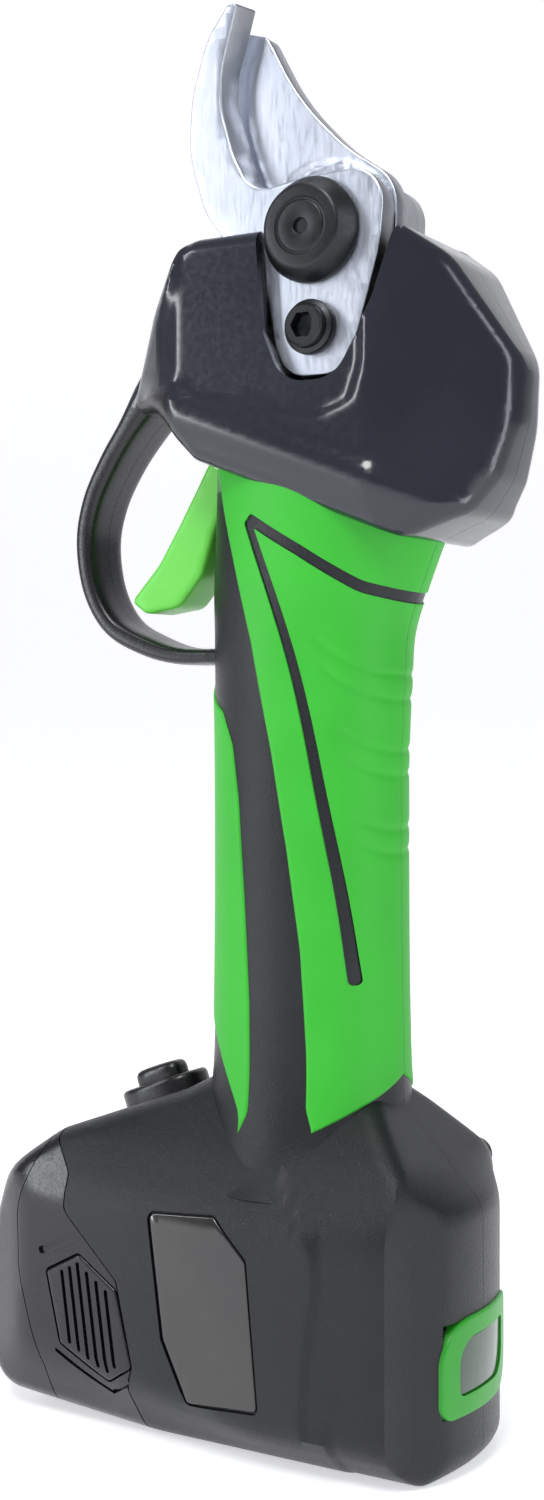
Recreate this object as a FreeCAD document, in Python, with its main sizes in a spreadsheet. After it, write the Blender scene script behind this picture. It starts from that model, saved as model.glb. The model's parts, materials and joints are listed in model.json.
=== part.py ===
import FreeCAD, Part
import math
import os
import re
import Sketcher
from FreeCAD import Placement, Rotation, Vector

# Battery electric pruner.
# Frame: +X towards the trigger and the battery's nose, +Y towards the left housing half,
# +Z up along the handle to the blades. The origin lies on the flat base, under the handle's axis.

doc = FreeCAD.newDocument("Pruner")
sheet = doc.addObject("Spreadsheet::Sheet", "dims")

# ------------------------------------------------------------------ driving dimensions
DIMENSIONS = [
    # (alias, value, meaning)
    ("wall_thick", 2.2, "moulded shell wall"),
    ("part_gap", 0.3, "gap between pieces that move past each other"),
    ("head_half", 20.0, "half width of the head across the flats"),
    ("spine_half", 4.8, "half width of the head's rear spine"),
    ("head_top", 233.5, "top of the head"),
    ("guard_half", 6.2, "half width of the finger guard"),
    ("handle_depth", 19.7, "half depth of the handle, front to rear"),
    ("handle_width", 16.6, "half width of the handle"),
    ("base_half", 27.5, "half width of the base"),
    ("base_front", 70.0, "front of the battery's nose"),
    ("base_rear", -36.2, "rear of the base, the display's face"),
    ("grip_thick", 1.3, "soft grip skin"),
    ("pivot_x", -8.2, "blade pivot, fore and aft"),
    ("pivot_z", 232.4, "blade pivot height"),
    ("bolt_radius", 4.0, "pivot bolt M8"),
    ("bush_radius", 5.5, "outside of the bronze bush"),
    ("run_fit", 0.05, "radial running clearance"),
    ("blade_inner", 6.0, "right face of the moving blade"),
    ("blade_thick", 4.4, "moving blade thickness"),
    ("hook_inner", 10.5, "right face of the fixed blade"),
    ("hook_thick", 5.5, "fixed blade thickness"),
    ("hook_bevel", 1.5, "slant across the fixed blade's inner edge"),
    ("nut_radius", 10.0, "pivot nut, at its base"),
    ("nut_face", 7.6, "pivot nut, at its front"),
    ("nut_height", 5.0, "pivot nut"),
    ("lock_drop", 18.3, "lock screw below the pivot"),
    ("lock_head", 5.2, "lock screw head radius"),
    ("lock_shank", 3.0, "lock screw shank radius, M6"),
    ("drive_tilt", 5.6, "lean of the drive axis to the rear, degrees"),
    ("bevel_module", 0.8, "bevel gears"),
    ("sector_teeth", 36, "sector gear, teeth in a full turn"),
    ("bevel_teeth", 10, "bevel pinion"),
    ("spur_module", 0.5, "planetary gears"),
    ("sun_teeth", 12, "sun gear"),
    ("planet_teeth", 15, "each planet gear"),
    ("spur_width", 7.0, "planetary gear face width"),
    ("frame_radius", 12.5, "gear frame's barrel"),
    ("motor_radius", 13.0, "motor can"),
    ("motor_long", 36.0, "motor can length"),
    ("motor_start", 57.0, "top of the motor, along the drive axis from the pivot"),
    ("shaft_radius", 1.5, "motor shaft"),
    ("trigger_half", 5.5, "half width of the trigger"),
    ("trigger_x", 16.2, "trigger pin"),
    ("trigger_z", 191.0, "trigger pin"),
    ("pin_radius", 1.5, "trigger pin"),
    ("cell_radius", 9.1, "18650 cell"),
    ("cell_long", 65.0, "18650 cell"),
    ("cell_pitch", 18.7, "distance between cell axes"),
    ("cell_rear", -10.0, "rear end of the cells"),
    ("cell_low", 14.6, "height of the lower cells' axes"),
    ("board_thick", 1.6, "circuit boards"),
    ("switch_lean", 20.2, "slope of the power switch, degrees"),
    ("screw_radius", 1.4, "housing screws M3 core"),
]


def fill_sheet():
    for row, (alias, value, meaning) in enumerate(DIMENSIONS, 1):
        sheet.set(f"A{row}", meaning)
        sheet.set(f"B{row}", str(value))
        sheet.setAlias(f"B{row}", alias)
    doc.recompute()


fill_sheet()
ALIAS = re.compile(r"[a-z]+(?:_[a-z]+)+")


def size(alias):
    return float(sheet.get(alias))


def formula(text):
    """An expression with each alias named in its sheet."""
    return ALIAS.sub(lambda found: "dims." + found.group(), str(text))


def bind(obj, **sizes):
    for name, text in sizes.items():
        obj.setExpression(name, formula(text))
    return obj


def put(obj, at, rotation=Rotation()):
    """Place an object at three expressions."""
    obj.Placement = Placement(Vector(), rotation)
    for axis, text in zip("xyz", at):
        obj.setExpression(f"Placement.Base.{axis}", formula(text))
    return obj


# ------------------------------------------------------------------ outlines and primitives
PLANES = {
    # sketch plane: rotation of the sketch, extrusion direction
    "XY": (Rotation(), Vector(0, 0, 1)),
    "XZ": (Rotation(Vector(1, 0, 0), 90), Vector(0, 1, 0)),
    "YZ": (Rotation(Vector(1, 1, 1), 120), Vector(1, 0, 0)),
}
TURNS = {
    "X": Rotation(Vector(0, 1, 0), 90),
    "Y": Rotation(Vector(1, 0, 0), -90),
    "Z": Rotation(),
}


def rounded(corners):
    """Lines and arcs of a closed outline whose corners are (u, v) or (u, v, radius)."""
    points = [Vector(corner[0], corner[1], 0) for corner in corners]
    radii = [corner[2] if len(corner) > 2 else 0 for corner in corners]
    count = len(points)
    ends = []
    arcs = []
    for n in range(count):
        here = points[n]
        back = points[n - 1] - here
        ahead = points[(n + 1) % count] - here
        half = back.getAngle(ahead) / 2
        reach = 0
        if radii[n] > 0 and half < math.radians(89.5):
            reach = min(radii[n] / math.tan(half), 0.49 * back.Length, 0.49 * ahead.Length)
        start = here + back.normalize() * reach
        end = here + ahead.normalize() * reach
        ends.append((start, end))
        if reach > 0:
            radius = reach * math.tan(half)
            bisector = (back + ahead).normalize()
            middle = here + bisector * (radius / math.sin(half) - radius)
            arcs.append(Part.Arc(start, middle, end))
    lines = []
    for n in range(count):
        start = ends[n][1]
        end = ends[(n + 1) % count][0]
        if (end - start).Length > 1e-4:
            lines.append(Part.LineSegment(start, end))
    return lines + arcs


def inset(corners, distance):
    """The outline moved inwards; corners run counter-clockwise."""
    count = len(corners)
    moved = []
    for n in range(count):
        before, here, after = (Vector(*corners[k % count][:2], 0) for k in (n - 1, n, n + 1))
        back = (here - before).normalize()
        ahead = (after - here).normalize()
        bend = back + ahead
        normal = Vector(-bend.y, bend.x, 0).normalize()
        scale = distance / max(0.2, normal.dot(Vector(-back.y, back.x, 0)))
        turn = back.x * ahead.y - back.y * ahead.x
        radius = corners[n][2] if len(corners[n]) > 2 else 0
        radius = max(0.2, radius - distance if turn > 0 else radius + distance)
        moved.append((here.x + normal.x * scale, here.y + normal.y * scale, radius))
    return moved


def circle(u, v, radius):
    return Part.Circle(Vector(u, v, 0), Vector(0, 0, 1), radius)


def sketch(name, plane, outlines):
    """A sketch of closed outlines: corner lists or circles."""
    drawn = doc.addObject("Sketcher::SketchObject", name)
    for outline in outlines:
        drawn.addGeometry(rounded(outline) if isinstance(outline, list) else [outline], False)
    drawn.Placement = Placement(Vector(), PLANES[plane][0])
    return drawn


def plate(name, plane, outlines, low, high):
    """The outlines on a plane, extruded from low to high along the plane's axis."""
    profile = sketch(name + "_outline", plane, outlines)
    axis = {"XY": "z", "XZ": "y", "YZ": "x"}[plane]
    profile.setExpression(f"Placement.Base.{axis}", formula(low))
    solid = doc.addObject("Part::Extrusion", name)
    solid.Base = profile
    solid.DirMode = "Custom"
    solid.Dir = PLANES[plane][1]
    solid.Solid = True
    return bind(solid, LengthFwd=f"({high}) - ({low})")


def rod(name, radius, length, at=(0, 0, 0), along="Z"):
    solid = doc.addObject("Part::Cylinder", name)
    bind(solid, Radius=radius, Height=length)
    return put(solid, at, TURNS[along])


def cone(name, low_radius, high_radius, height, at=(0, 0, 0), along="Z"):
    solid = doc.addObject("Part::Cone", name)
    bind(solid, Radius1=low_radius, Radius2=high_radius, Height=height)
    return put(solid, at, TURNS[along])


def block(name, lengths, centre):
    solid = doc.addObject("Part::Box", name)
    bind(solid, Length=lengths[0], Width=lengths[1], Height=lengths[2])
    corner = [f"({middle}) - ({length}) / 2" for middle, length in zip(centre, lengths)]
    return put(solid, corner)


def fuse(name, *solids):
    joined = doc.addObject("Part::MultiFuse", name)
    joined.Shapes = list(solids)
    joined.Refine = True
    return joined


def common(name, *solids):
    shared = doc.addObject("Part::MultiCommon", name)
    shared.Shapes = list(solids)
    return shared


def cut(name, solid, *tools):
    tool = tools[0] if len(tools) == 1 else fuse(name + "_tools", *tools)
    left = doc.addObject("Part::Cut", name)
    left.Base = solid
    left.Tool = tool
    return left


def group(name, *solids):
    """Several separate solids kept as one sub-part."""
    kept = doc.addObject("Part::Compound", name)
    kept.Links = list(solids)
    return kept


def tube(name, outer, inner, length, at=(0, 0, 0), along="Z"):
    hole = rod(name + "_bore", inner, length, at, along)
    return cut(name, rod(name + "_outside", outer, length, at, along), hole)


def solid_feature(name, shape):
    """A feature from a ready shape; the compound keeps the shape's own turn when it is placed."""
    feature = doc.addObject("Part::Feature", name)
    feature.Shape = Part.makeCompound([shape])
    return feature


# ------------------------------------------------------------------ sketched bodies
ROLES = {"XY": "XY_Plane", "XZ": "XZ_Plane", "YZ": "YZ_Plane"}


def new_body(label):
    made = doc.addObject("PartDesign::Body", label)
    made.Label = label
    return made


def body_sketch(body, name, plane, outlines, offset="0"):
    """A sketch on one of the body's own planes, moved along that plane's normal."""
    drawn = body.newObject("Sketcher::SketchObject", name)
    role = ROLES[plane]
    flat = [item for item in body.Origin.OriginFeatures if item.Role == role]
    drawn.AttachmentSupport = [(flat[0], "")]
    drawn.MapMode = "FlatFace"
    drawn.setExpression("AttachmentOffset.Base.z", formula(offset))
    for outline in outlines:
        drawn.addGeometry(rounded(outline) if isinstance(outline, list) else [outline], False)
    return drawn


def pad(body, plane, outlines, length, offset="0"):
    profile = body_sketch(body, f"{body.Name}_pad_sketch", plane, outlines, offset)
    feature = body.newObject("PartDesign::Pad", f"{body.Name}_pad")
    feature.Profile = profile
    bind(feature, Length=length)
    doc.recompute()
    return feature


def pocket(body, plane, outlines, length, offset="0"):
    """Cut the outlines from the offset plane, and check that something was cut."""
    before = body.Shape.Volume
    profile = body_sketch(body, f"{body.Name}_pocket_sketch", plane, outlines, offset)
    feature = body.newObject("PartDesign::Pocket", f"{body.Name}_pocket")
    feature.Profile = profile
    bind(feature, Length=length)
    doc.recompute()
    if body.Shape.Volume > before - 1e-3:
        raise ValueError(f"{feature.Name} cuts nothing")
    return feature


PARTS = []


def keep(node, obj):
    """Name a finished sub-part; its label is its file's name."""
    obj.Label = node
    PARTS.append(obj)
    return obj


# ------------------------------------------------------------------ places that many pieces share
PIVOT = ("pivot_x", "0", "pivot_z")
HOOK_OUTER = "hook_inner + hook_thick"
TILT = Rotation(Vector(0, 1, 0), -size("drive_tilt"))


def on_drive(obj):
    """Carry an object from the drive's own frame, whose +Z ends at the blade pivot."""
    return put(obj, PIVOT, TILT)


def drive_point(down, across=0.0, aside=0.0):
    """A point of the drive's own frame in the tool's frame."""
    local = TILT.multVec(Vector(across, aside, -down))
    return local + Vector(size("pivot_x"), 0, size("pivot_z"))


# ------------------------------------------------------------------ housing form
# Outlines seen from the left side (X, Z), from above (X, Y) and from the front (Y, Z).
# Each runs counter-clockwise, so that it can be moved inwards by the wall.
def head_side():
    top = size("head_top")
    return [
        (-37.8, 178.2, 5), (-27, 173.7, 5), (17, 190.5, 5), (27, 201, 5), (38.6, 202.2, 2.4),
        (29, 221, 14), (19, top, 7), (-24, top, 10), (-34.5, 226, 12), (-46.2, 206.5, 8), (-45.6, 194, 20),
        (-42.8, 185, 7),
    ]


def head_plan():
    half = size("head_half")
    spine = size("spine_half")
    return [
        (-46.6, -spine, 2), (-22.5, -half, 4), (21, -half, 6), (40, -8, 3), (40, 8, 3), (21, half, 6),
        (-22.5, half, 4), (-46.6, spine, 2),
    ]


def base_side():
    rear = size("base_rear")
    front = size("base_front")
    return [
        (rear, 0, 5), (front - 10, 0, 14), (front + 1, 14, 12), (front - 1, 31, 18), (61, 48, 14),
        (48.5, 57.5, 8), (24, 66.5, 5), (18, 70, 2), (-16, 70, 2), (rear, 49, 7),
    ]


def base_plan():
    half = size("base_half")
    front = size("base_front")
    rear = size("base_rear")
    side = [(rear, 14.5, 4), (-28.5, half - 1.5, 5), (-13, half, 8), (27, half - 0.5, 20), (54, half - 3, 16)]
    nose = [(front + 1, 15.5, 16)]
    mirrored = [(x, -y, r) for x, y, r in side + nose]
    return mirrored + (side + nose)[::-1]


def base_end():
    half = size("base_half")
    right = [(half - 10, 0, 6), (half, 8.5, 8), (half, 46, 9), (half - 10.5, 67, 10), (half - 14, 71, 2)]
    return right + [(-y, z, r) for y, z, r in right[::-1]]


def guard_outside():
    return [
        (14, 151.2, 1), (30, 151.2, 8), (47.5, 157.3, 9), (52.6, 166, 10), (54.6, 178, 14), (49.5, 191.5, 14),
        (40, 204.5, 3), (30, 212, 2), (10, 212, 1), (10, 180, 1),
    ]


def guard_opening():
    """The finger opening, between the guard and the handle's front."""
    return [
        (18.2, 153.6, 1.5), (29, 154, 9), (44.6, 160.2, 8), (49.2, 168, 8), (50.2, 178, 12), (46, 189, 12),
        (38, 200.2, 3), (28.5, 200.8, 4), (22.6, 191, 12), (19.6, 176, 30),
    ]


HANDLE_SECTIONS = [
    # (height, centre x, extra half depth, extra half width)
    (60, 0.8, 2.0, 2.6),
    (72, 0.8, 0.7, 0.6),
    (95, 0.8, 0.0, 0.0),
    (135, 0.8, 0.0, 0.0),
    (158, 0.2, 0.9, 0.6),
    (172, -2.4, 3.4, 1.4),
    (186, -5.6, 6.4, 2.4),
    (201, -6.4, 7.0, 2.4),
]


def handle(name, less):
    """A smooth loft of ellipses, made smaller all round by an expression."""
    sections = []
    for n, (height, centre, deeper, wider) in enumerate(HANDLE_SECTIONS):
        ring = doc.addObject("Part::Ellipse", f"{name}_ring_{n}")
        bind(ring, MajorRadius=f"handle_depth + {deeper} - ({less})")
        bind(ring, MinorRadius=f"handle_width + {wider} - ({less})")
        sections.append(put(ring, (centre, "0", height)))
    solid = doc.addObject("Part::Loft", name)
    solid.Sections = sections
    solid.Solid = True
    return solid


def crossed(name, side, plan, less, reach, end=None):
    """The space that a side outline and a plan outline (and an end outline) share."""
    walls = [
        plate(f"{name}_side", "XZ", [inset(side, less)], f"0 - ({reach})", reach),
        plate(f"{name}_plan", "XY", [inset(plan, less)], "0 - 5", "head_top + 10"),
    ]
    if end:
        walls.append(plate(f"{name}_end", "YZ", [inset(end, less)], "0 - 60", "90"))
    return common(name, *walls)


def form(name, less, middle):
    """Head, handle and base as one solid, made smaller all round."""
    head = crossed(f"{name}_head", head_side(), head_plan(), less, "head_half + 5")
    base = crossed(f"{name}_base", base_side(), base_plan(), less, "base_half + 5", base_end())
    return fuse(name, head, middle, base)


def handle_room(name):
    """The straight oval room inside the handle, from the base's room up to the head's."""
    ring = doc.addObject("Part::Ellipse", f"{name}_ring")
    bind(ring, MajorRadius="handle_depth - wall_thick", MinorRadius="handle_width - wall_thick")
    put(ring, ("0.8", "0", "50"))
    room = doc.addObject("Part::Extrusion", name)
    room.Base = ring
    room.DirMode = "Custom"
    room.Dir = Vector(0, 0, 1)
    room.Solid = True
    room.LengthFwd = 140
    return room


WALL = size("wall_thick")
BATTERY_JOINT = [
    # the battery's side of the joint with the base
    (27.4, -8), (90, -8), (90, 63.5), (47.5, 63.5), (47.5, 56.5, 2), (42.2, 50.5, 3), (42.5, 43.5, 3),
    (29.4, 31.6, 2), (25.6, 15.6, 1), (27.4, 10.5, 1),
]
TOP_OPENING = [(-19, 206), (3, 206), (12.4, 226, 2), (12.4, 250), (-27, 250), (-27, 222, 2)]
HOOK_OPENING = [
    (4.0, 245), (-31.5, 245), (-22.6, 217.5, 12), (-14.0, 202.3, 7), (-3.4, 202.3, 7), (0.8, 214, 6),
]
SCREWS = [
    # (x, z, half length of the boss)
    (-35.5, 206, 10), (29.5, 207.5, 13), (4.6, 128, 14), (-0.3, 84, 14), (-25, 53, 22.5), (-20, 7, 24),
    (20, 55, 22),
]
FRAME_SCREWS = [(-21.5, 221.5), (4.2, 221.5)]
SCREW_END = 7.5


def battery_room(name, gap):
    """The battery's side of the joint, moved forward by an expression."""
    return put(plate(name, "XZ", [BATTERY_JOINT], "0 - 60", "60"), (gap, "0", "0"))


def screw_bosses():
    """Posts that join the halves, posts for the gear frame, and the trigger pin's seats."""
    posts = []
    for n, (x, z, reach) in enumerate(SCREWS):
        posts.append(rod(f"screw_boss_{n}", "3.2", 2 * reach, (x, -reach, z), "Y"))
    for n, (x, z) in enumerate(FRAME_SCREWS):
        posts.append(rod(f"frame_post_{n}", "2.8", "9.2", (x, "0 - 18.5", z), "Y"))
    for hand, start in (("left", "6.4"), ("right", "0 - 18.8")):
        posts.append(rod(f"{hand}_pin_seat", "3.2", "12.4", ("trigger_x", start, "trigger_z"), "Y"))
    return posts


def screw_bores():
    bores = []
    for n, (x, z, reach) in enumerate(SCREWS):
        bores.append(rod(f"screw_bore_{n}", "screw_radius", 30 + SCREW_END, (x, -30, z), "Y"))
        bores.append(rod(f"screw_head_bore_{n}", "screw_radius + 1.5", 33 - reach, (x, -30, z), "Y"))
    for n, (x, z) in enumerate(FRAME_SCREWS):
        bores.append(rod(f"frame_screw_bore_{n}", "screw_radius", "6", (x, "0 - 15.3", z), "Y"))
    bores.append(rod("pin_bore", "pin_radius", "20", ("trigger_x", "0 - 10", "trigger_z"), "Y"))
    return bores


def make_shell():
    """The whole hollow housing, before it is split down the middle."""
    outside = fuse(
        "housing_outside",
        form("housing_form", 0, handle("handle_form", "0")),
        plate("guard_form", "XZ", [guard_outside()], "0 - guard_half", "guard_half"),
    )
    shell = cut("housing_hollow", outside, form("housing_inside", WALL, handle_room("handle_inside")))
    walls = fuse("housing_walls", shell, *screw_bosses())
    openings = [
        plate("finger_opening", "XZ", [guard_opening()], "0 - 15", "15"),
        plate("top_opening", "XZ", [TOP_OPENING], "0 - 14.5", "hook_inner + hook_thick + 0.4"),
        plate("hook_opening", "XZ", [HOOK_OPENING], "hook_inner - 0.5", "30"),
        block("trigger_slot", ("22", "2 * trigger_half + 1", "34"), ("21", "0", "180.5")),
        block("display_window", ("6", "26", "17.4"), ("base_rear", "0", "20.6")),
        rod("switch_hole", "6.5", "18", ("33", "0", "50")),
        battery_room("battery_bay", "0"),
    ]
    return cut("housing_whole", walls, *openings, *screw_bores())


# ------------------------------------------------------------------ grips
SIDE_GRIP = [
    # front edge going down, then up the rear; the rear edge lies past the handle's rear
    (14.6, 190.5, 3), (4.4, 155, 60), (-1.6, 122, 60), (-6.2, 82, 20), (-7.2, 63.5, 1.5),
]
FRONT_GRIP = [(14.4, 143.5, 8), (8.6, 126, 20), (5.6, 92, 30), (4.8, 66, 6), (7.4, 60.5, 1.5), (14, 76, 20)]
INLAY_SLOT = [
    (5.8, 179.6, 1), (-5.4, 173.4, 20), (-16, 166.2, 20), (-34, 162.2), (-34, 160.5), (-16, 163.6, 20),
    (-5.4, 170, 20), (-1.2, 172.4), (-8, 142, 60), (-16.4, 88.4), (-14, 88.4), (-5.6, 142, 60),
]


def make_grips():
    """Soft skins let into the handle; the housing is cut away under them."""
    skin = cut("grip_skin", handle("grip_outer", "0"), handle("grip_inner", "grip_thick"))
    side = SIDE_GRIP + [(-34, 74, 2), (-60, 82), (-60, 165), (-38, 171.4, 1)]
    front = FRONT_GRIP + [(22, 88), (60, 88), (60, 143.5)]
    grips = {}
    for hand, low, high in (("left", "part_gap / 6", "40"), ("right", "0 - 40", "0 - part_gap / 6")):
        region = plate(f"{hand}_side_region", "XZ", [side], low, high)
        inlay = plate(f"{hand}_inlay_region", "XZ", [INLAY_SLOT], low, high)
        panel = cut(f"{hand}_side_panel", region, inlay)
        grips[f"{hand}_side_grip"] = common(f"{hand}_side_skin", skin, panel)
        region = plate(f"{hand}_front_region", "XZ", [front], low, high)
        grips[f"{hand}_front_grip"] = common(f"{hand}_front_skin", skin, region)
    return grips


def make_housing():
    whole = make_shell()
    grips = make_grips()
    for node, grip in grips.items():
        keep(node, grip)
    for hand, middle in (("left", "30"), ("right", "0 - 30")):
        half = block(f"{hand}_half_space", ("200", "60", "300"), ("10", middle, "130"))
        side = common(f"{hand}_shell", whole, half)
        taken = [grips[f"{hand}_side_grip"], grips[f"{hand}_front_grip"]]
        keep(f"{hand}_housing", cut(f"{hand}_housing_cut", side, *taken))


# ------------------------------------------------------------------ blades and pivot
def hook_outline(bevel):
    """Counter-clockwise from the tip, down the cutting edge, round the foot and up the back."""
    foot = [
        (-6, 242.8, 8), (-23.6, 243.4, 12), (-22.3, 228, 20), (-15.6, 205.0, 7), (-1.0, 205.0, 7),
        (1.6, 221, 8), (10.0, 231.0, 1),
    ]
    edge = [
        (8.6 - bevel, 278.3, 0.3), (13.2 - bevel, 262.5, 44), (9.2 - bevel, 249.0, 16),
        (5.0 - bevel, 241.2, 9),
    ]
    back = [
        (15.8, 238.8, 16), (19.4, 250.5, 24), (18.7, 261.5, 24), (15.4, 272.2, 16), (10.6, 278.3, 0.8),
    ]
    return edge + foot + back


def make_fixed_blade():
    sections = []
    for name, height, bevel in (("near", HOOK_OUTER, 0), ("far", "hook_inner", size("hook_bevel"))):
        section = sketch(f"fixed_blade_{name}", "XZ", [hook_outline(bevel)])
        section.setExpression("Placement.Base.y", formula(height))
        sections.append(section)
    plate_solid = doc.addObject("Part::Loft", "fixed_blade_plate")
    plate_solid.Sections = sections
    plate_solid.Solid = True
    plate_solid.Ruled = True
    bolt_hole = rod("fixed_blade_bolt_hole", "bolt_radius", "30", ("pivot_x", "0", "pivot_z"), "Y")
    lock_hole = rod("fixed_blade_lock_hole", "lock_shank", "30", ("pivot_x", "0", "pivot_z - lock_drop"), "Y")
    keep("fixed_blade", cut("fixed_blade_cut", plate_solid, bolt_hole, lock_hole))


MOVING_BLADE = [
    (10.0, 274.6, 0.6), (4.8, 272.6, 3), (-2.2, 259.5, 60), (-12.5, 248.8, 40), (-23.3, 241.4, 9),
    (-23.0, 226.3, 14.8), (-14.3, 217.6, 14.8), (-2.1, 217.6, 14.8), (6.6, 226.3, 14.8), (7.4, 239, 16),
    (14.4, 254, 40), (13.6, 267, 30),
]
DOWEL_SPOTS = [(-17.4, 236.6), (-8.2, 242.4), (1.0, 236.6)]


def make_moving_blade():
    body = new_body("moving_blade")
    x, z = size("pivot_x"), size("pivot_z")
    pad(body, "XZ", [MOVING_BLADE], "blade_thick", "0 - (blade_inner + blade_thick)")
    pocket(body, "XZ", [circle(x, z, size("bush_radius"))], "blade_thick + 1", "0 - blade_inner + 0.5")
    for dx, dz in DOWEL_SPOTS:
        pocket(body, "XZ", [circle(dx, dz, 1.5)], "blade_thick - 0.5", "0 - blade_inner + 0.5")
    keep("moving_blade", body)
    dowels = [rod(f"dowel_{n}", "1.5", "5.2", (dx, "4.2", dz), "Y") for n, (dx, dz) in enumerate(DOWEL_SPOTS)]
    keep("blade_dowels", group("dowel_group", *dowels))


def make_pivot():
    bush_at = ("pivot_x", "0 - 4.95", "pivot_z")
    washer_at = ("pivot_x", "0 - 5.95", "pivot_z")
    keep("pivot_bush", tube("pivot_bush_tube", "bush_radius", "bolt_radius + run_fit", "15.3", bush_at, "Y"))
    keep("thrust_washer", tube("thrust_ring", "8", "bolt_radius", "0.95", washer_at, "Y"))
    shank = rod("bolt_shank", "bolt_radius", "29.3", ("pivot_x", "0 - 9", "pivot_z"), "Y")
    head = doc.addObject("Part::Prism", "bolt_head")
    head.Polygon = 6
    bind(head, Circumradius="7.5", Height="4.4")
    put(head, ("pivot_x", "0 - 13.4", "pivot_z"), TURNS["Y"])
    keep("pivot_bolt", fuse("pivot_bolt_fuse", shank, head))
    at = ("pivot_x", HOOK_OUTER, "pivot_z")
    dome = cone("nut_cone", "nut_radius", "nut_face", "nut_height", at, "Y")
    flange = rod("nut_flange", "nut_radius", "0.9", at, "Y")
    thread = rod("nut_thread", "bolt_radius", "nut_height - 0.7", at, "Y")
    recess_at = ("pivot_x", HOOK_OUTER + " + nut_height - 0.5", "pivot_z")
    recess = rod("nut_recess", "5", "1", recess_at, "Y")
    eye = rod("nut_eye", "1.2", "nut_height + 1", at, "Y")
    keep("pivot_nut", cut("pivot_nut_cut", fuse("nut_body", dome, flange), thread, recess, eye))


def make_lock_screw():
    drop = ("pivot_x", HOOK_OUTER, "pivot_z - lock_drop")
    head = rod("lock_screw_head", "lock_head", "5", drop, "Y")
    shank_at = ("pivot_x", "hook_inner - 5.1", "pivot_z - lock_drop")
    shank = rod("lock_screw_shank", "lock_shank", "10.6", shank_at, "Y")
    socket = doc.addObject("Part::Prism", "lock_screw_socket")
    socket.Polygon = 6
    bind(socket, Circumradius="2.9", Height="4")
    put(socket, ("pivot_x", HOOK_OUTER + " + 2.2", "pivot_z - lock_drop"), TURNS["Y"])
    keep("blade_lock_screw", cut("lock_screw_cut", fuse("lock_screw_solid", head, shank), socket))


# ------------------------------------------------------------------ bevel drive
# The gears' own frame: the pinion's axis runs down from the pivot, both cones end at the pivot.
GEAR_REACH = size("bevel_module") * size("sector_teeth") / 2
PINION_REACH = size("bevel_module") * size("bevel_teeth") / 2
CONE_SHORT = 0.70
BEVEL_PITCH = math.pi * size("bevel_module")
TOOTH_SHARE = 0.36
FLANK = math.tan(math.radians(22))
ADDENDUM = 0.62
DEDENDUM = 0.85


def wedge(corners, scale):
    """A tapered block from a flat outline to the same outline nearer the cones' common tip."""
    near = Part.makePolygon(corners + [corners[0]])
    far = Part.makePolygon([corner * scale for corner in corners + [corners[0]]])
    return Part.makeLoft([near, far], True, True)


def make_bevel_pinion():
    """A cone of teeth on a shaft; the teeth shrink towards the pivot."""
    teeth = int(size("bevel_teeth"))
    half = BEVEL_PITCH * TOOTH_SHARE / 2
    low = PINION_REACH - DEDENDUM
    high = PINION_REACH + ADDENDUM
    shape = Part.makeCone(low, low * CONE_SHORT, GEAR_REACH * (1 - CONE_SHORT), Vector(0, 0, -GEAR_REACH))
    for n in range(teeth):
        corners = [
            Vector(low - 0.3, half + FLANK * DEDENDUM, -GEAR_REACH),
            Vector(high, half - FLANK * ADDENDUM, -GEAR_REACH),
            Vector(high, -half + FLANK * ADDENDUM, -GEAR_REACH),
            Vector(low - 0.3, -half - FLANK * DEDENDUM, -GEAR_REACH),
        ]
        tooth = wedge(corners, CONE_SHORT)
        tooth.rotate(Vector(), Vector(0, 0, 1), 360 * n / teeth - 90)
        shape = shape.fuse(tooth)
    hub = Part.makeCylinder(high - 0.1, 1.2, Vector(0, 0, -GEAR_REACH - 1.2))
    shaft = Part.makeCylinder(3, 22, Vector(0, 0, -GEAR_REACH - 23.2))
    feature = solid_feature("bevel_pinion", shape.fuse([hub, shaft]).removeSplitter())
    keep("bevel_pinion", on_drive(feature))


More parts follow.
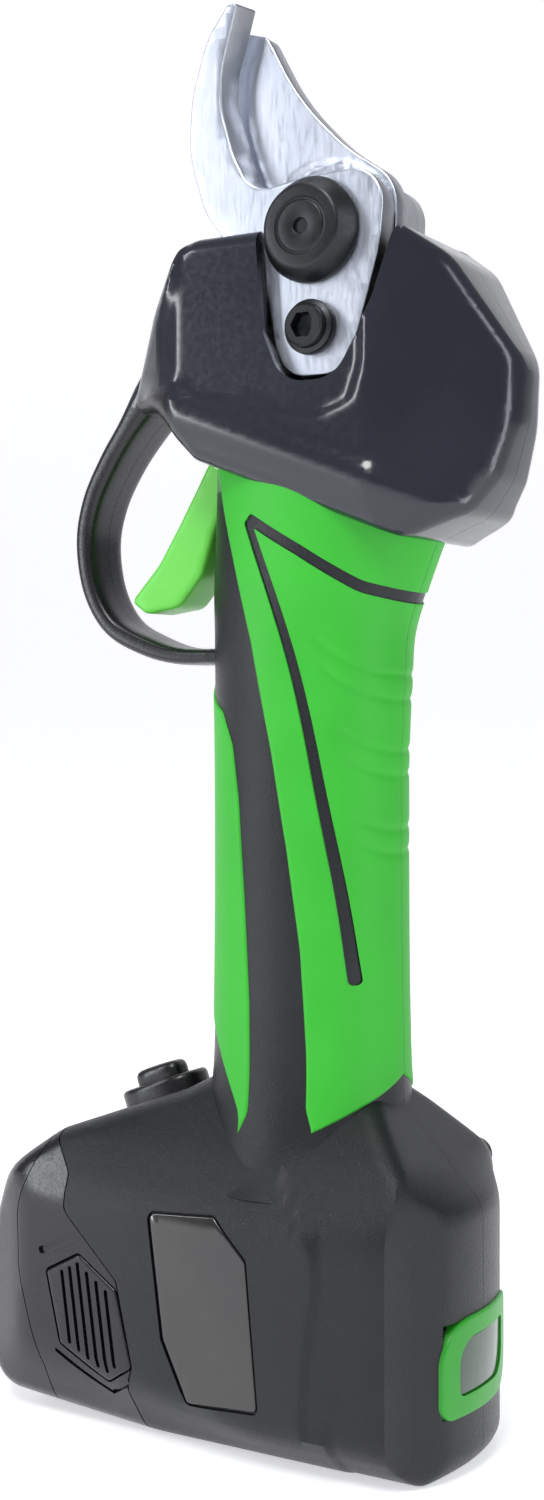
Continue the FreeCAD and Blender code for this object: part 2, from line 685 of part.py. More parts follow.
def make_sector_gear():
    """A ring of tooth spaces round the pivot, cut to the sector that the blade's swing needs."""
    reach = GEAR_REACH
    rise = PINION_REACH
    outline = [
        Vector(reach - 0.1, 6.0), Vector(reach - 0.1, rise - ADDENDUM),
        Vector(reach * CONE_SHORT, (rise - ADDENDUM) * CONE_SHORT), Vector(6.6, 1.4), Vector(6.6, -4.95),
        Vector(5.5, -4.95), Vector(5.5, 6.0),
    ]
    face = Part.Face(Part.makePolygon([Vector(p.x, p.y, 0) for p in outline + [outline[0]]]))
    ring = face.revolve(Vector(), Vector(0, 1, 0), 360)
    half = BEVEL_PITCH * (1 - TOOTH_SHARE) / 2
    step = 360 / size("sector_teeth")
    spaces = []
    for n in range(-8, 3):
        corners = [
            Vector(half + FLANK * (ADDENDUM + 0.5), rise - ADDENDUM - 0.5, -reach),
            Vector(half - FLANK * DEDENDUM, rise + DEDENDUM, -reach),
            Vector(-half + FLANK * DEDENDUM, rise + DEDENDUM, -reach),
            Vector(-half - FLANK * (ADDENDUM + 0.5), rise - ADDENDUM - 0.5, -reach),
        ]
        space = wedge([corner * 1.08 for corner in corners], CONE_SHORT * 0.9)
        space.rotate(Vector(), Vector(0, 1, 0), -n * step)
        spaces.append(space)
    gear = ring.cut(spaces)
    hub = Part.makeCylinder(9.0, 12, Vector(0, -5, 0), Vector(0, 1, 0))
    fan = Part.Face(Part.makePolygon([
        Vector(), Vector(7, 0, -22), Vector(-14, 0, -22), Vector(-26, 0, -8), Vector(-24, 0, 4), Vector(),
    ]))
    fan = fan.extrude(Vector(0, 12, 0))
    fan.translate(Vector(0, -5, 0))
    gear = gear.common(hub.fuse(fan))
    feature = on_drive(solid_feature("sector_blank", gear.removeSplitter()))
    dowel_holes = [
        rod(f"sector_dowel_hole_{n}", "1.5", "4", (dx, "4.2", dz), "Y")
        for n, (dx, dz) in enumerate(DOWEL_SPOTS)
    ]
    keep("sector_gear", cut("sector_gear_cut", feature, *dowel_holes))


FRAME_TOP = 17.2
FRAME_LONG = 21.0
FRAME_EAR = [
    (-20, 200, 2), (4, 200, 2), (8.5, 214, 3), (8.5, 222, 4), (2.5, 226, 4), (4.2, 244.8, 12),
    (-20.6, 244.8, 12), (-18.9, 228, 4), (-25.5, 226, 3), (-25.5, 216, 4),
]
FRAME_SEAT = [(-16, 200, 2), (0, 200, 2), (0, 219), (-16, 219)]


def make_gear_frame():
    """Barrel round the pinion's bearings, ear behind the pivot and seat for the fixed blade."""
    barrel = on_drive(solid_feature("frame_barrel", Part.makeCylinder(
        size("frame_radius"), FRAME_LONG, Vector(0, 0, -FRAME_TOP - FRAME_LONG))))
    bore = Part.makeCylinder(6.5, 16, Vector(0, 0, -FRAME_TOP - FRAME_LONG))
    bore = bore.fuse(Part.makeCylinder(3.4, FRAME_LONG, Vector(0, 0, -FRAME_TOP - FRAME_LONG)))
    bore = on_drive(solid_feature("frame_bore", bore))
    ear = plate("frame_ear", "XZ", [FRAME_EAR], "0 - 9", "0 - 6")
    seat = plate("frame_seat", "XZ", [FRAME_SEAT], "5.3", "hook_inner")
    sweep = rod("frame_sweep", "15.4", "30", ("pivot_x", "0 - 5.8", "pivot_z"), "Y")
    flat = block("frame_flat", ("60", "20", "60"), ("0", "hook_inner + 10", "205"))
    bolt_bore = rod("frame_bolt_bore", "bolt_radius", "20", ("pivot_x", "0 - 20", "pivot_z"), "Y")
    lock_at = ("pivot_x", "hook_inner - 5.4", "pivot_z - lock_drop")
    lock_bore = rod("frame_lock_bore", "lock_shank", "5.6", lock_at, "Y")
    screws = [
        rod(f"frame_ear_bore_{n}", "screw_radius + 0.1", "6", (x, "0 - 11", z), "Y")
        for n, (x, z) in enumerate(FRAME_SCREWS)
    ]
    solid = fuse("frame_solid", barrel, ear, seat)
    keep("gear_frame", cut("gear_frame_cut", solid, sweep, flat, bore, bolt_bore, lock_bore, *screws))


def ring_shape(outer, inner, long, low):
    """A hollow cylinder along Z with its lower end at the height `low`."""
    at = Vector(0, 0, low)
    return Part.makeCylinder(outer, long, at).cut(Part.makeCylinder(inner, long, at))


def ball_bearing(name, inner, outer, width, low, balls):
    """Two races and the balls between them, along the drive axis."""
    middle = (inner + outer) / 2
    ball = (outer - inner) * 0.22
    groove = Part.makeTorus(middle, ball + 0.02, Vector(0, 0, low + width / 2))
    land = (outer - inner) * 0.28
    shapes = []
    for big, small in ((outer, outer - land), (inner + land, inner)):
        shapes.append(ring_shape(big, small, width, low).cut(groove))
    for n in range(balls):
        angle = 2 * math.pi * n / balls
        centre = Vector(middle * math.cos(angle), middle * math.sin(angle), low + width / 2)
        shapes.append(Part.makeSphere(ball, centre))
    return solid_feature(name, Part.makeCompound(shapes))


# ------------------------------------------------------------------ planetary gears
def involute_gear(teeth, module, width, thin=0.06, tip=1.0, root=1.2):
    """A spur gear with involute flanks; thin is taken off each flank."""
    pitch = module * teeth / 2
    base = pitch * math.cos(math.radians(20))
    outer = pitch + tip * module
    inner = pitch - root * module

    def involute(radius):
        angle = math.acos(min(1.0, base / radius))
        return math.tan(angle) - angle

    half = math.pi / (2 * teeth) - thin / pitch + involute(pitch)
    radii = [max(base, inner) + (outer - max(base, inner)) * k / 3 for k in range(4)]
    points = []
    for n in range(teeth):
        middle = 2 * math.pi * n / teeth
        flank = [(inner, half)] + [(radius, half - involute(radius)) for radius in radii]
        for radius, angle in flank:
            points.append((radius, middle - angle))
        for radius, angle in reversed(flank):
            points.append((radius, middle + angle))
    corners = [Vector(radius * math.cos(angle), radius * math.sin(angle), 0) for radius, angle in points]
    face = Part.Face(Part.makePolygon(corners + [corners[0]]))
    return face.extrude(Vector(0, 0, width))


SUN = int(size("sun_teeth"))
PLANET = int(size("planet_teeth"))
RING = SUN + 2 * PLANET
GEAR_LOW = -50.0
PLANETS = 3


def make_planetary():
    module = size("spur_module")
    width = size("spur_width")
    orbit = module * (SUN + PLANET) / 2
    ring = Part.makeCylinder(13, 15.2, Vector(0, 0, -53.5))
    ring = ring.cut(Part.makeCylinder(11.4, 7.2, Vector(0, 0, -45.5)))
    ring = ring.cut(Part.makeCylinder(11.4, 3.4, Vector(0, 0, -53.5)))
    hole = involute_gear(RING, module, 16, thin=-0.06, tip=1.2, root=1.0)
    hole.rotate(Vector(), Vector(0, 0, 1), 180 / RING)
    hole.translate(Vector(0, 0, -54))
    keep("ring_gear", on_drive(solid_feature("ring_gear", ring.cut(hole))))
    for n in range(PLANETS):
        turn = 360 * n / PLANETS
        gear = involute_gear(PLANET, module, width)
        mesh_turn = 180 - turn * SUN / PLANET
        if PLANET % 2 == 0:
            mesh_turn += 180 / PLANET
        gear.rotate(Vector(), Vector(0, 0, 1), mesh_turn)
        gear = gear.cut(Part.makeCylinder(1.55, width))
        gear.translate(Vector(orbit, 0, GEAR_LOW))
        gear.rotate(Vector(), Vector(0, 0, 1), turn)
        keep(f"planet_gear_{n + 1}", on_drive(solid_feature(f"planet_gear_{n + 1}", gear)))
    carrier = Part.makeCylinder(9.6, 2.4, Vector(0, 0, GEAR_LOW + width + 0.1))
    carrier = carrier.fuse(Part.makeCylinder(4.5, 3.0, Vector(0, 0, GEAR_LOW + width + 2)))
    for n in range(PLANETS):
        angle = 2 * math.pi * n / PLANETS
        spot = Vector(orbit * math.cos(angle), orbit * math.sin(angle), GEAR_LOW - 0.2)
        carrier = carrier.fuse(Part.makeCylinder(1.5, width + 1, spot))
    carrier = carrier.cut(Part.makeCylinder(3, 30, Vector(0, 0, -GEAR_REACH - 23.2)))
    keep("planet_carrier", on_drive(solid_feature("planet_carrier", carrier)))
    sun = involute_gear(SUN, module, width)
    sun.rotate(Vector(), Vector(0, 0, 1), 180 / SUN)
    sun = sun.cut(Part.makeCylinder(size("shaft_radius"), width))
    sun.translate(Vector(0, 0, GEAR_LOW))
    keep("sun_gear", on_drive(solid_feature("sun_gear", sun)))


def make_bearings():
    keep("pinion_bearings", on_drive(group(
        "pinion_bearing_pair",
        ball_bearing("upper_pinion_bearing", 3, 6.5, 5, -27.2, 9),
        ball_bearing("lower_pinion_bearing", 3, 6.5, 5, -37.6, 9),
    )))
    start = size("motor_start")
    low = start + size("motor_long")
    keep("motor_bearings", on_drive(group(
        "motor_bearing_pair",
        ball_bearing("upper_motor_bearing", 1.5, 4.0, 3, 0.6 - start, 8),
        ball_bearing("lower_motor_bearing", 1.5, 4.0, 3, -low - 1.5, 8),
    )))


# ------------------------------------------------------------------ motor
def make_motor():
    radius = size("motor_radius")
    start = size("motor_start")
    long = size("motor_long")
    shaft = size("shaft_radius")
    low = -start - long
    can = ring_shape(radius, radius - 1.2, long, low)
    keep("motor_can", on_drive(solid_feature("motor_can", can)))
    nose = ring_shape(radius, 4.0, 3.5, -start)
    keep("motor_face_plate", on_drive(solid_feature("motor_face_plate", nose)))
    cap = Part.makeCylinder(radius, 2.6, Vector(0, 0, low - 2.6))
    cap = cap.cut(Part.makeCylinder(4.0, 1.6, Vector(0, 0, low - 1.6)))
    for n in range(6):
        angle = math.pi * n / 3
        cap = cap.cut(Part.makeCylinder(1.6, 4, Vector(8 * math.cos(angle), 8 * math.sin(angle), low - 3)))
    keep("motor_end_cap", on_drive(solid_feature("motor_end_cap", cap)))
    core = ring_shape(radius - 1.2, 6.2, 22, low + 7)
    windings = []
    for n in range(9):
        slot = Part.makeBox(3.6, 2.6, 22, Vector(6.0, -1.3, low + 7))
        wire = Part.makeBox(3.0, 2.2, 28, Vector(6.5, -1.1, low + 4))
        for piece in (slot, wire):
            piece.rotate(Vector(), Vector(0, 0, 1), 40 * n)
        core = core.cut(slot)
        windings.append(wire)
    keep("stator_core", on_drive(solid_feature("stator_core", core)))
    keep("stator_windings", on_drive(solid_feature("stator_windings", Part.makeCompound(windings))))
    magnet = ring_shape(5.8, shaft, 24, low + 6)
    keep("rotor_magnet", on_drive(solid_feature("rotor_magnet", magnet)))
    rod_shape = Part.makeCylinder(shaft, GEAR_LOW - low + 1.4, Vector(0, 0, low - 1.4))
    keep("motor_shaft", on_drive(solid_feature("motor_shaft", rod_shape.fuse(
        Part.makeCylinder(shaft, size("spur_width"), Vector(0, 0, GEAR_LOW))).removeSplitter())))


# ------------------------------------------------------------------ trigger
TRIGGER = [
    (12.6, 187.6, 2.5), (19.6, 180, 16), (23.2, 169, 6), (28.6, 162.8, 4), (36.8, 161.6, 2),
    (40.4, 164.2, 1.2), (33.6, 171.5, 20), (28.6, 179.5, 20), (22.6, 190.5, 8), (19.2, 195.4, 3),
    (12.8, 195, 3),
]


def make_trigger():
    body = new_body("trigger")
    x, z = size("trigger_x"), size("trigger_z")
    pad(body, "XZ", [TRIGGER], "2 * trigger_half", "0 - trigger_half")
    pocket(body, "XZ", [circle(x, z, size("pin_radius") + 0.05)], "2 * trigger_half + 2", "trigger_half + 1")
    pocket(body, "XZ", [[(17.2, 177.8), (21.0, 177.8), (21.0, 182.8), (17.2, 182.8)]], "6.2", "3.1")
    keep("trigger", body)
    keep("trigger_pin", rod("trigger_pin_rod", "pin_radius", "20", ("trigger_x", "0 - 10", "trigger_z"), "Y"))
    keep("trigger_magnet", block("trigger_magnet_block", ("3", "4", "3"), ("19.2", "0", "179.4")))
    keep("trigger_board", block("trigger_board_plate", ("1.2", "11", "15"), ("12.6", "0", "169")))
    coil = Part.makeHelix(1.2, 3.0, 2.4)
    ring = Part.Wire(Part.makeCircle(0.3, Vector(2.4, 0, 0), Vector(0, 1, 0.08)))
    spring = Part.Wire(coil).makePipeShell([ring], True, False)
    feature = solid_feature("trigger_spring_coil", spring)
    feature.Placement = Placement(Vector(11.0, 0, 182.4), Rotation(Vector(0, 1, 0), 80))
    keep("trigger_spring", feature)


# ------------------------------------------------------------------ power switch
SWITCH_SPOT = (34.4, 0, 62.7)
SWITCH_PUCK = [(-9.6, -6, 5), (9.6, -6.6, 5), (9.6, 6.6, 5), (-9.6, 6, 5)]


def block_outline(half_x, half_y, radius):
    return [
        (-half_x, -half_y, radius), (half_x, -half_y, radius),
        (half_x, half_y, radius), (-half_x, half_y, radius),
    ]


def make_switch():
    """The slanted button on the base's shoulder; X runs down the slope in its own frame."""
    lean = Rotation(Vector(0, 1, 0), size("switch_lean"))
    bed = new_body("switch_boot")
    pad(bed, "XY", [SWITCH_PUCK, block_outline(5.6, 3.6, 3)], "3.4", "0.1")
    keep("switch_boot", put(bed, SWITCH_SPOT, lean))
    knob = new_body("power_button")
    pad(knob, "XY", [block_outline(5.3, 3.3, 3)], "6.6", "0.4")
    keep("power_button", put(knob, SWITCH_SPOT, lean))
    body = new_body("switch_body")
    pad(body, "XY", [block_outline(4.6, 3.6, 0.5)], "7.4", "0 - 8.6")
    keep("switch_body", put(body, SWITCH_SPOT, lean))


# ------------------------------------------------------------------ display and electronics
DISPLAY_FRAME = [(-13.8, 11.6, 8), (13.8, 11.6, 3), (13.8, 29.6, 8), (-13.8, 29.6, 2)]
DISPLAY_GLASS = [(-9.4, 15.4, 5), (9.4, 15.4, 1.6), (9.4, 26.0, 5), (-9.4, 26.0, 1.2)]
DISPLAY_SLEEVE = [(-12.9, 12.4, 7), (12.9, 12.4, 2.4), (12.9, 28.8, 7), (-12.9, 28.8, 1.6)]


def make_display():
    bezel = new_body("display_bezel")
    pad(bezel, "YZ", [DISPLAY_FRAME, DISPLAY_GLASS], "0.6", "base_rear - 0.6")
    pad(bezel, "YZ", [DISPLAY_SLEEVE, DISPLAY_GLASS], "2.6", "base_rear")
    keep("display_bezel", bezel)
    lens = plate("display_lens_plate", "YZ", [DISPLAY_GLASS], "base_rear - 0.4", "base_rear + 0.9")
    keep("display_lens", lens)
    keep("display_module", block("display_module_block", ("2", "24", "15"), ("base_rear + 3.7", "0", "20.6")))
    board = block("display_board_plate", ("board_thick", "26", "30"), ("base_rear + 5.6", "0", "23"))
    keep("display_board", board)


TERMINALS = 3


def make_electronics():
    board = block("control_board_plate", ("board_thick", "38", "36"), ("0 - 25.6", "0", "29"))
    keep("control_board", board)
    parts = [block(f"transistor_{n}", ("1.6", "6", "6"), ("0 - 24", 8 * n - 12, "40")) for n in range(4)]
    parts.append(rod("board_capacitor", "3.6", "14", ("0 - 21.2", "17.2", "18")))
    keep("board_components", group("board_component_group", *parts))
    holder = block("terminal_holder", ("4", "26", "14"), ("0 - 18.6", "0", "27"))
    blades = [
        block(f"terminal_blade_{n}", ("7.6", "0.8", "6"), ("0 - 16", 8 * n - 8, "27"))
        for n in range(TERMINALS)
    ]
    keep("terminal_block", group("terminal_group", cut("terminal_holder_cut", holder, *blades), *blades))


def wire_run(name, radius, points, bend):
    """A round wire along straight runs joined by tangent arcs."""
    edges = []
    start = points[0]
    for before, here, after in zip(points, points[1:], points[2:]):
        back = (before - here).normalize()
        ahead = (after - here).normalize()
        half = back.getAngle(ahead) / 2
        reach = bend / math.tan(half)
        first = here + back * reach
        last = here + ahead * reach
        middle = here + (back + ahead).normalize() * (bend / math.sin(half) - bend)
        edges += [Part.LineSegment(start, first).toShape(), Part.Arc(first, middle, last).toShape()]
        start = last
    edges.append(Part.LineSegment(start, points[-1]).toShape())
    path = Part.Wire(edges)
    ring = Part.Wire(Part.makeCircle(radius, points[0], points[1] - points[0]))
    return solid_feature(name, path.makePipeShell([ring], True, False))


def make_wiring():
    """Motor, switch and battery leads, all held inside the housing."""
    low = size("motor_start") + size("motor_long") + 4
    motor = []
    for n, aside in enumerate((-3.2, 0, 3.2)):
        top = drive_point(low, across=-3, aside=aside)
        route = [
            top, Vector(-2, aside, 120), Vector(-8, aside, 100), Vector(-8, aside, 74),
            Vector(-20, aside, 55), Vector(-20, aside, 45),
        ]
        motor.append(wire_run(f"motor_wire_{n}", 1.1, route, 5))
    keep("motor_wires", group("motor_wire_group", *motor))
    route = [
        Vector(13.0, 7.6, 161), Vector(13.0, 7.6, 150), Vector(12, 8, 78), Vector(2, 9, 62),
        Vector(-14, 9, 58), Vector(-14, 9, 53),
    ]
    keep("trigger_wire", wire_run("trigger_wire", 0.9, route, 4))


# ------------------------------------------------------------------ battery
CAP_JOINT = [
    (48.5, -8), (90, -8), (90, 64), (49.6, 64), (49.6, 55, 4), (55.2, 42, 10), (54.6, 29.6, 12),
    (48.5, 11, 3),
]
RELEASE_PAD = [
    (32.0, 11.4, 1), (43.4, 17.2, 1), (47.0, 31.0, 1), (38.8, 35.4, 1), (29.6, 29.8, 1), (25.9, 15.4, 1),
]
RELEASE_SKIN = 2.6
BATTERY_WALL = 2.2
GROOVE_LEAN = 12
GROOVE_COUNT = 9
GROOVE_PITCH = 1.95
CELL_SPOTS = [(side, level) for level in (0, 1) for side in (-0.5, 0.5)]


def battery_form(name, less):
    return crossed(name, base_side(), base_plan(), less, "base_half + 5", base_end())


def pad_grooves(hand, side):
    """Slanted grooves across a release pad, the longest in the middle."""
    lean = Rotation(Vector(0, 1, 0), GROOVE_LEAN)
    middle = (GROOVE_COUNT - 1) / 2
    grooves = []
    for n in range(GROOVE_COUNT):
        long = 15.5 - 1.1 * abs(n - middle)
        groove = doc.addObject("Part::Box", f"{hand}_pad_groove_{n}")
        bind(groove, Length="0.85", Width="3", Height=f"{long}")
        across = lean.multVec(Vector(GROOVE_PITCH * (n - middle), 0, 0))
        centre = Vector(36.4, side * 27.2, 23.4) + across
        groove.Placement = Placement(centre - lean.multVec(Vector(0.42, 1.5, long / 2)), lean)
        grooves.append(groove)
    return grooves


def make_battery():
    nose = common("battery_nose", battery_form("battery_outside", 0), battery_room("nose_space", "part_gap"))
    slim = common(
        "battery_tail", battery_form("battery_tail_form", WALL + 0.6),
        block("battery_tail_space", ("70", "44.8", "45.6"), ("21", "0", "26")),
    )
    full = fuse("battery_full", nose, slim)
    nose_room = common(
        "nose_room", battery_form("nose_room_form", BATTERY_WALL),
        battery_room("nose_room_space", f"part_gap + {BATTERY_WALL}"),
    )
    tail_room = common(
        "tail_room", battery_form("tail_room_form", WALL + 2.4),
        block("tail_room_space", ("68", "41.2", "42"), ("21.8", "0", "26")),
    )
    pads = {}
    holes = []
    for hand, low, high, clear in (
        ("left", 20.0, 40.0, (20.0 + RELEASE_SKIN, 40.0)),
        ("right", -40.0, -20.0, (-40.0, -20.0 - RELEASE_SKIN)),
    ):
        holes.append(plate(f"{hand}_release_hole", "XZ", [inset(RELEASE_PAD, -0.25)], low, high))
        blank = plate(f"{hand}_release_prism", "XZ", [RELEASE_PAD], *clear)
        pads[hand] = common(f"{hand}_release_blank", blank, battery_form(f"{hand}_release_form", 0))
    slots = [
        block(f"terminal_slot_{n}", ("8", "1.6", "7.2"), ("0 - 13", 8 * n - 8, "27"))
        for n in range(TERMINALS)
    ]
    shell = cut("battery_shell", full, fuse("battery_room_inside", nose_room, tail_room), *holes, *slots)
    cap_space = plate("cap_space", "XZ", [CAP_JOINT], "0 - 60", "60")
    cap_keep = plate("cap_keep", "XZ", [CAP_JOINT], "0 - 60", "60")
    keep("battery_case", cut("battery_case_cut", shell, cap_space))
    keep("battery_cap", common("battery_cap_cut", shell, cap_keep))
    for hand, side in (("left", 1), ("right", -1)):
        keep(f"{hand}_release_pad", cut(f"{hand}_release_pad_cut", pads[hand], *pad_grooves(hand, side)))
    make_cells()


def make_cells():
    cells = []
    for n, (side, level) in enumerate(CELL_SPOTS):
        at = ("cell_rear", f"{side} * cell_pitch", f"cell_low + {level} * cell_pitch")
        cells.append(rod(f"cell_{n}", "cell_radius", "cell_long", at, "X"))
    keep("battery_cells", group("cell_group", *cells))
    middle = "cell_low + cell_pitch / 2"
    frames = [
        block("rear_cell_frame", ("1.2", "35", "35"), ("cell_rear - 0.7", "0", middle)),
        block("front_cell_frame", ("1.6", "34", "35"), ("cell_rear + cell_long + 0.9", "0", middle)),
    ]
    keep("cell_frames", group("cell_frame_group", *frames))
    board = block("protection_board_plate", ("46", "30", "board_thick"), ("22", "0", "44.4"))
    keep("protection_board", board)
    springs = [
        tube(f"{hand}_release_spring", "2.4", "1.9", "3.2", ("36.6", start, "23.4"), "Y")
        for hand, start in (("left", "19.2"), ("right", "0 - 22.4"))
    ]
    keep("release_springs", group("release_spring_pair", *springs))


# ------------------------------------------------------------------ fasteners
def make_screws():
    pieces = []
    for n, (x, z, reach) in enumerate(SCREWS):
        shank = rod(f"screw_shank_{n}", "screw_radius", reach - 3 + SCREW_END - 0.4, (x, 3 - reach, z), "Y")
        head = rod(f"screw_head_{n}", "2.7", "2", (x, 1.0 - reach, z), "Y")
        pieces.append(fuse(f"screw_{n}", shank, head))
    keep("housing_screws", group("housing_screw_group", *pieces))
    small = []
    for n, (x, z) in enumerate(FRAME_SCREWS):
        shank = rod(f"frame_screw_shank_{n}", "screw_radius", "8.8", (x, "0 - 14.8", z), "Y")
        head = rod(f"frame_screw_head_{n}", "2.6", "1.8", (x, "0 - 6", z), "Y")
        small.append(fuse(f"frame_screw_{n}", shank, head))
    keep("frame_screws", group("frame_screw_group", *small))


def export():
    os.makedirs("parts", exist_ok=True)
    broken = [obj.Label for obj in doc.Objects if {"Invalid", "Error"} & set(obj.State)]
    if broken:
        raise SystemExit(f"failed objects: {broken}")
    for obj in PARTS:
        shape = obj.Shape
        if shape.isNull() or not shape.isValid() or not shape.Solids:
            raise SystemExit(f"{obj.Label} has no valid solid")
    for obj in PARTS:
        obj.Shape.exportStep(f"parts/{obj.Label}.step")
        print(f"{obj.Label}: {len(obj.Shape.Solids)} solids, {obj.Shape.Volume:.1f} mm3")


make_fixed_blade()
make_moving_blade()
make_pivot()
make_lock_screw()
make_bevel_pinion()
make_sector_gear()
make_gear_frame()
make_planetary()
make_bearings()
make_motor()
make_trigger()
make_switch()
make_display()
make_electronics()
make_wiring()
make_battery()
make_screws()
make_housing()
doc.recompute()
export()
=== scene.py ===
import json
import math

import bmesh
import bpy
import numpy as np
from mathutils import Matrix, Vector


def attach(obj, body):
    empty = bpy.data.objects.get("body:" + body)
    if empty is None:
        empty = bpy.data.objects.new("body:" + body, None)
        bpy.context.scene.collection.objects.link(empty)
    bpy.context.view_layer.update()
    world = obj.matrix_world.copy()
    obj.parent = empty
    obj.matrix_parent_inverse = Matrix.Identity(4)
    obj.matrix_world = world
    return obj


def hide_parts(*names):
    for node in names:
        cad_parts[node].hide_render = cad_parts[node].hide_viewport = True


# Battery electric pruner. +X is the trigger and battery side, +Y the tool's left side, +Z the blades.
# Shapes are worked out in millimetres and turned into metres when a mesh is made.
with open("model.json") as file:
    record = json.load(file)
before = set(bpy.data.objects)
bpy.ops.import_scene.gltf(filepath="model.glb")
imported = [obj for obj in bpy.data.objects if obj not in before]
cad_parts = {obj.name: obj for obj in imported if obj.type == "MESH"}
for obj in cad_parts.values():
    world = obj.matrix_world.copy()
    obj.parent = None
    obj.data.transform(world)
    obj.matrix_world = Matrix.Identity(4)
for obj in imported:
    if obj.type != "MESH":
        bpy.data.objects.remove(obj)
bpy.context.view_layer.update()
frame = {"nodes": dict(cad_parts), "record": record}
MM = 0.001


# ------------------------------------------------------------------ outlines
def move_inwards(corners, distance):
    """A counter-clockwise outline of (u, v, radius) corners with every edge moved inwards."""
    points = [Vector(c[:2]) for c in corners]
    moved = []
    for i, (u, v, radius) in enumerate(corners):
        before = (points[i] - points[i - 1]).normalized()
        after = (points[(i + 1) % len(points)] - points[i]).normalized()
        normals = Vector((-before.y - after.y, before.x + after.x))
        share = 1 + before.dot(after)
        point = points[i] + normals * (distance / share)
        convex = before.cross(after) > 0
        moved.append((point.x, point.y, max(radius - distance if convex else radius + distance, 0.05)))
    return moved


def trace(corners, counts, arc):
    """Points along the rounded outline, the same number for every inset of it."""
    points = [Vector(c[:2]) for c in corners]
    total = len(points)
    arcs = []
    for i, (u, v, radius) in enumerate(corners):
        back = points[i - 1] - points[i]
        ahead = points[(i + 1) % total] - points[i]
        before, after = -back.normalized(), ahead.normalized()
        turn = math.acos(max(-1, min(1, before.dot(after))))
        reach = min(radius * math.tan(turn / 2), 0.49 * min(back.length, ahead.length))
        radius = reach / max(math.tan(turn / 2), 1e-6)
        side = 1 if before.cross(after) > 0 else -1
        normal = Vector((-before.y, before.x)) * side
        start = points[i] - before * reach
        centre = start + normal * radius
        arcs.append([])
        for k in range(arc + 1):
            angle = turn * k / arc
            sideways = normal * radius * math.cos(angle)
            arcs[-1].append(centre - sideways + before * radius * math.sin(angle))
    line = []
    for i in range(total):
        line += arcs[i]
        last, first = arcs[i][-1], arcs[(i + 1) % total][0]
        line += [last.lerp(first, k / counts[i]) for k in range(1, counts[i])]
    return [(p.x, p.y) for p in line]


def edge_counts(corners, step):
    points = [Vector(c[:2]) for c in corners]
    followers = points[1:] + points[:1]
    return [max(1, round((q - p).length / step)) for p, q in zip(points, followers)]


def smooth_line(xs, ys):
    """A smooth curve through the points, as a function of arrays."""
    xs, ys = np.array(xs, float), np.array(ys, float)
    slopes = np.gradient(ys, xs)

    def at(x):
        x = np.clip(np.asarray(x, float), xs[0], xs[-1])
        i = np.clip(np.searchsorted(xs, x) - 1, 0, len(xs) - 2)
        span = xs[i + 1] - xs[i]
        t = (x - xs[i]) / span
        return (
            ys[i] * (1 + 2 * t) * (1 - t) ** 2 + slopes[i] * span * t * (1 - t) ** 2
            + ys[i + 1] * t * t * (3 - 2 * t) + slopes[i + 1] * span * t * t * (t - 1)
        )

    return at


def bent_line(points, radius):
    """Straight runs with softened bends, as a function of arrays; points are (x, y) in rising x."""
    xs = np.arange(points[0][0] - 10, points[-1][0] + 10, 0.25)
    ys = np.interp(xs, [p[0] for p in points], [p[1] for p in points])
    width = max(int(radius / 0.25), 1)
    kernel = np.hanning(2 * width + 3)
    padded = np.pad(ys, width + 1, mode="edge")
    ys = np.convolve(padded, kernel / kernel.sum(), mode="valid")
    return lambda x: np.interp(x, xs, ys)


def softer(a, b, width):
    """The smaller of two arrays, with the change between them rounded."""
    h = np.clip(0.5 + 0.5 * (b - a) / width, 0, 1)
    return b * (1 - h) + a * h - width * h * (1 - h)


def ease(t):
    t = np.clip(t, 0, 1)
    return t * t * (3 - 2 * t)


def line_distance(x, y, points):
    """Distance from each (x, y) to a polyline."""
    best = np.full(np.shape(x), 1e9)
    for (ax, ay), (bx, by) in zip(points, points[1:]):
        dx, dy = bx - ax, by - ay
        t = np.clip(((x - ax) * dx + (y - ay) * dy) / (dx * dx + dy * dy), 0, 1)
        best = np.minimum(best, np.hypot(x - ax - t * dx, y - ay - t * dy))
    return best


def inside(x, y, outline):
    """Signed distance to a closed outline: positive inside."""
    ring = list(outline) + [outline[0]]
    crossings = np.zeros(np.shape(x), bool)
    for (ax, ay), (bx, by) in zip(ring, ring[1:]):
        spans = (ay > y) != (by > y)
        rise = by - ay if abs(by - ay) > 1e-9 else 1e-9
        crossings ^= spans & (x < (bx - ax) * (y - ay) / rise + ax)
    distance = line_distance(x, y, ring)
    return np.where(crossings, distance, -distance)


# ------------------------------------------------------------------ meshes
def new_piece(name, verts, faces, smooth=40):
    mesh = bpy.data.meshes.new(name)
    mesh.from_pydata([tuple(v) for v in np.asarray(verts, float) * MM], [], faces)
    piece = bpy.data.objects.new(name, mesh)
    bpy.context.scene.collection.objects.link(piece)
    settle(piece, smooth)
    return piece


def settle(piece, smooth=40):
    """Outward normals, and smooth shading except across sharp edges."""
    work = bmesh.new()
    work.from_mesh(piece.data)
    bmesh.ops.recalc_face_normals(work, faces=work.faces)
    work.to_mesh(piece.data)
    work.free()
    piece.data.shade_smooth()
    piece.data.set_sharp_from_angle(angle=math.radians(smooth))


def from_side(u, v, h):
    return np.stack([u, h, v], -1)


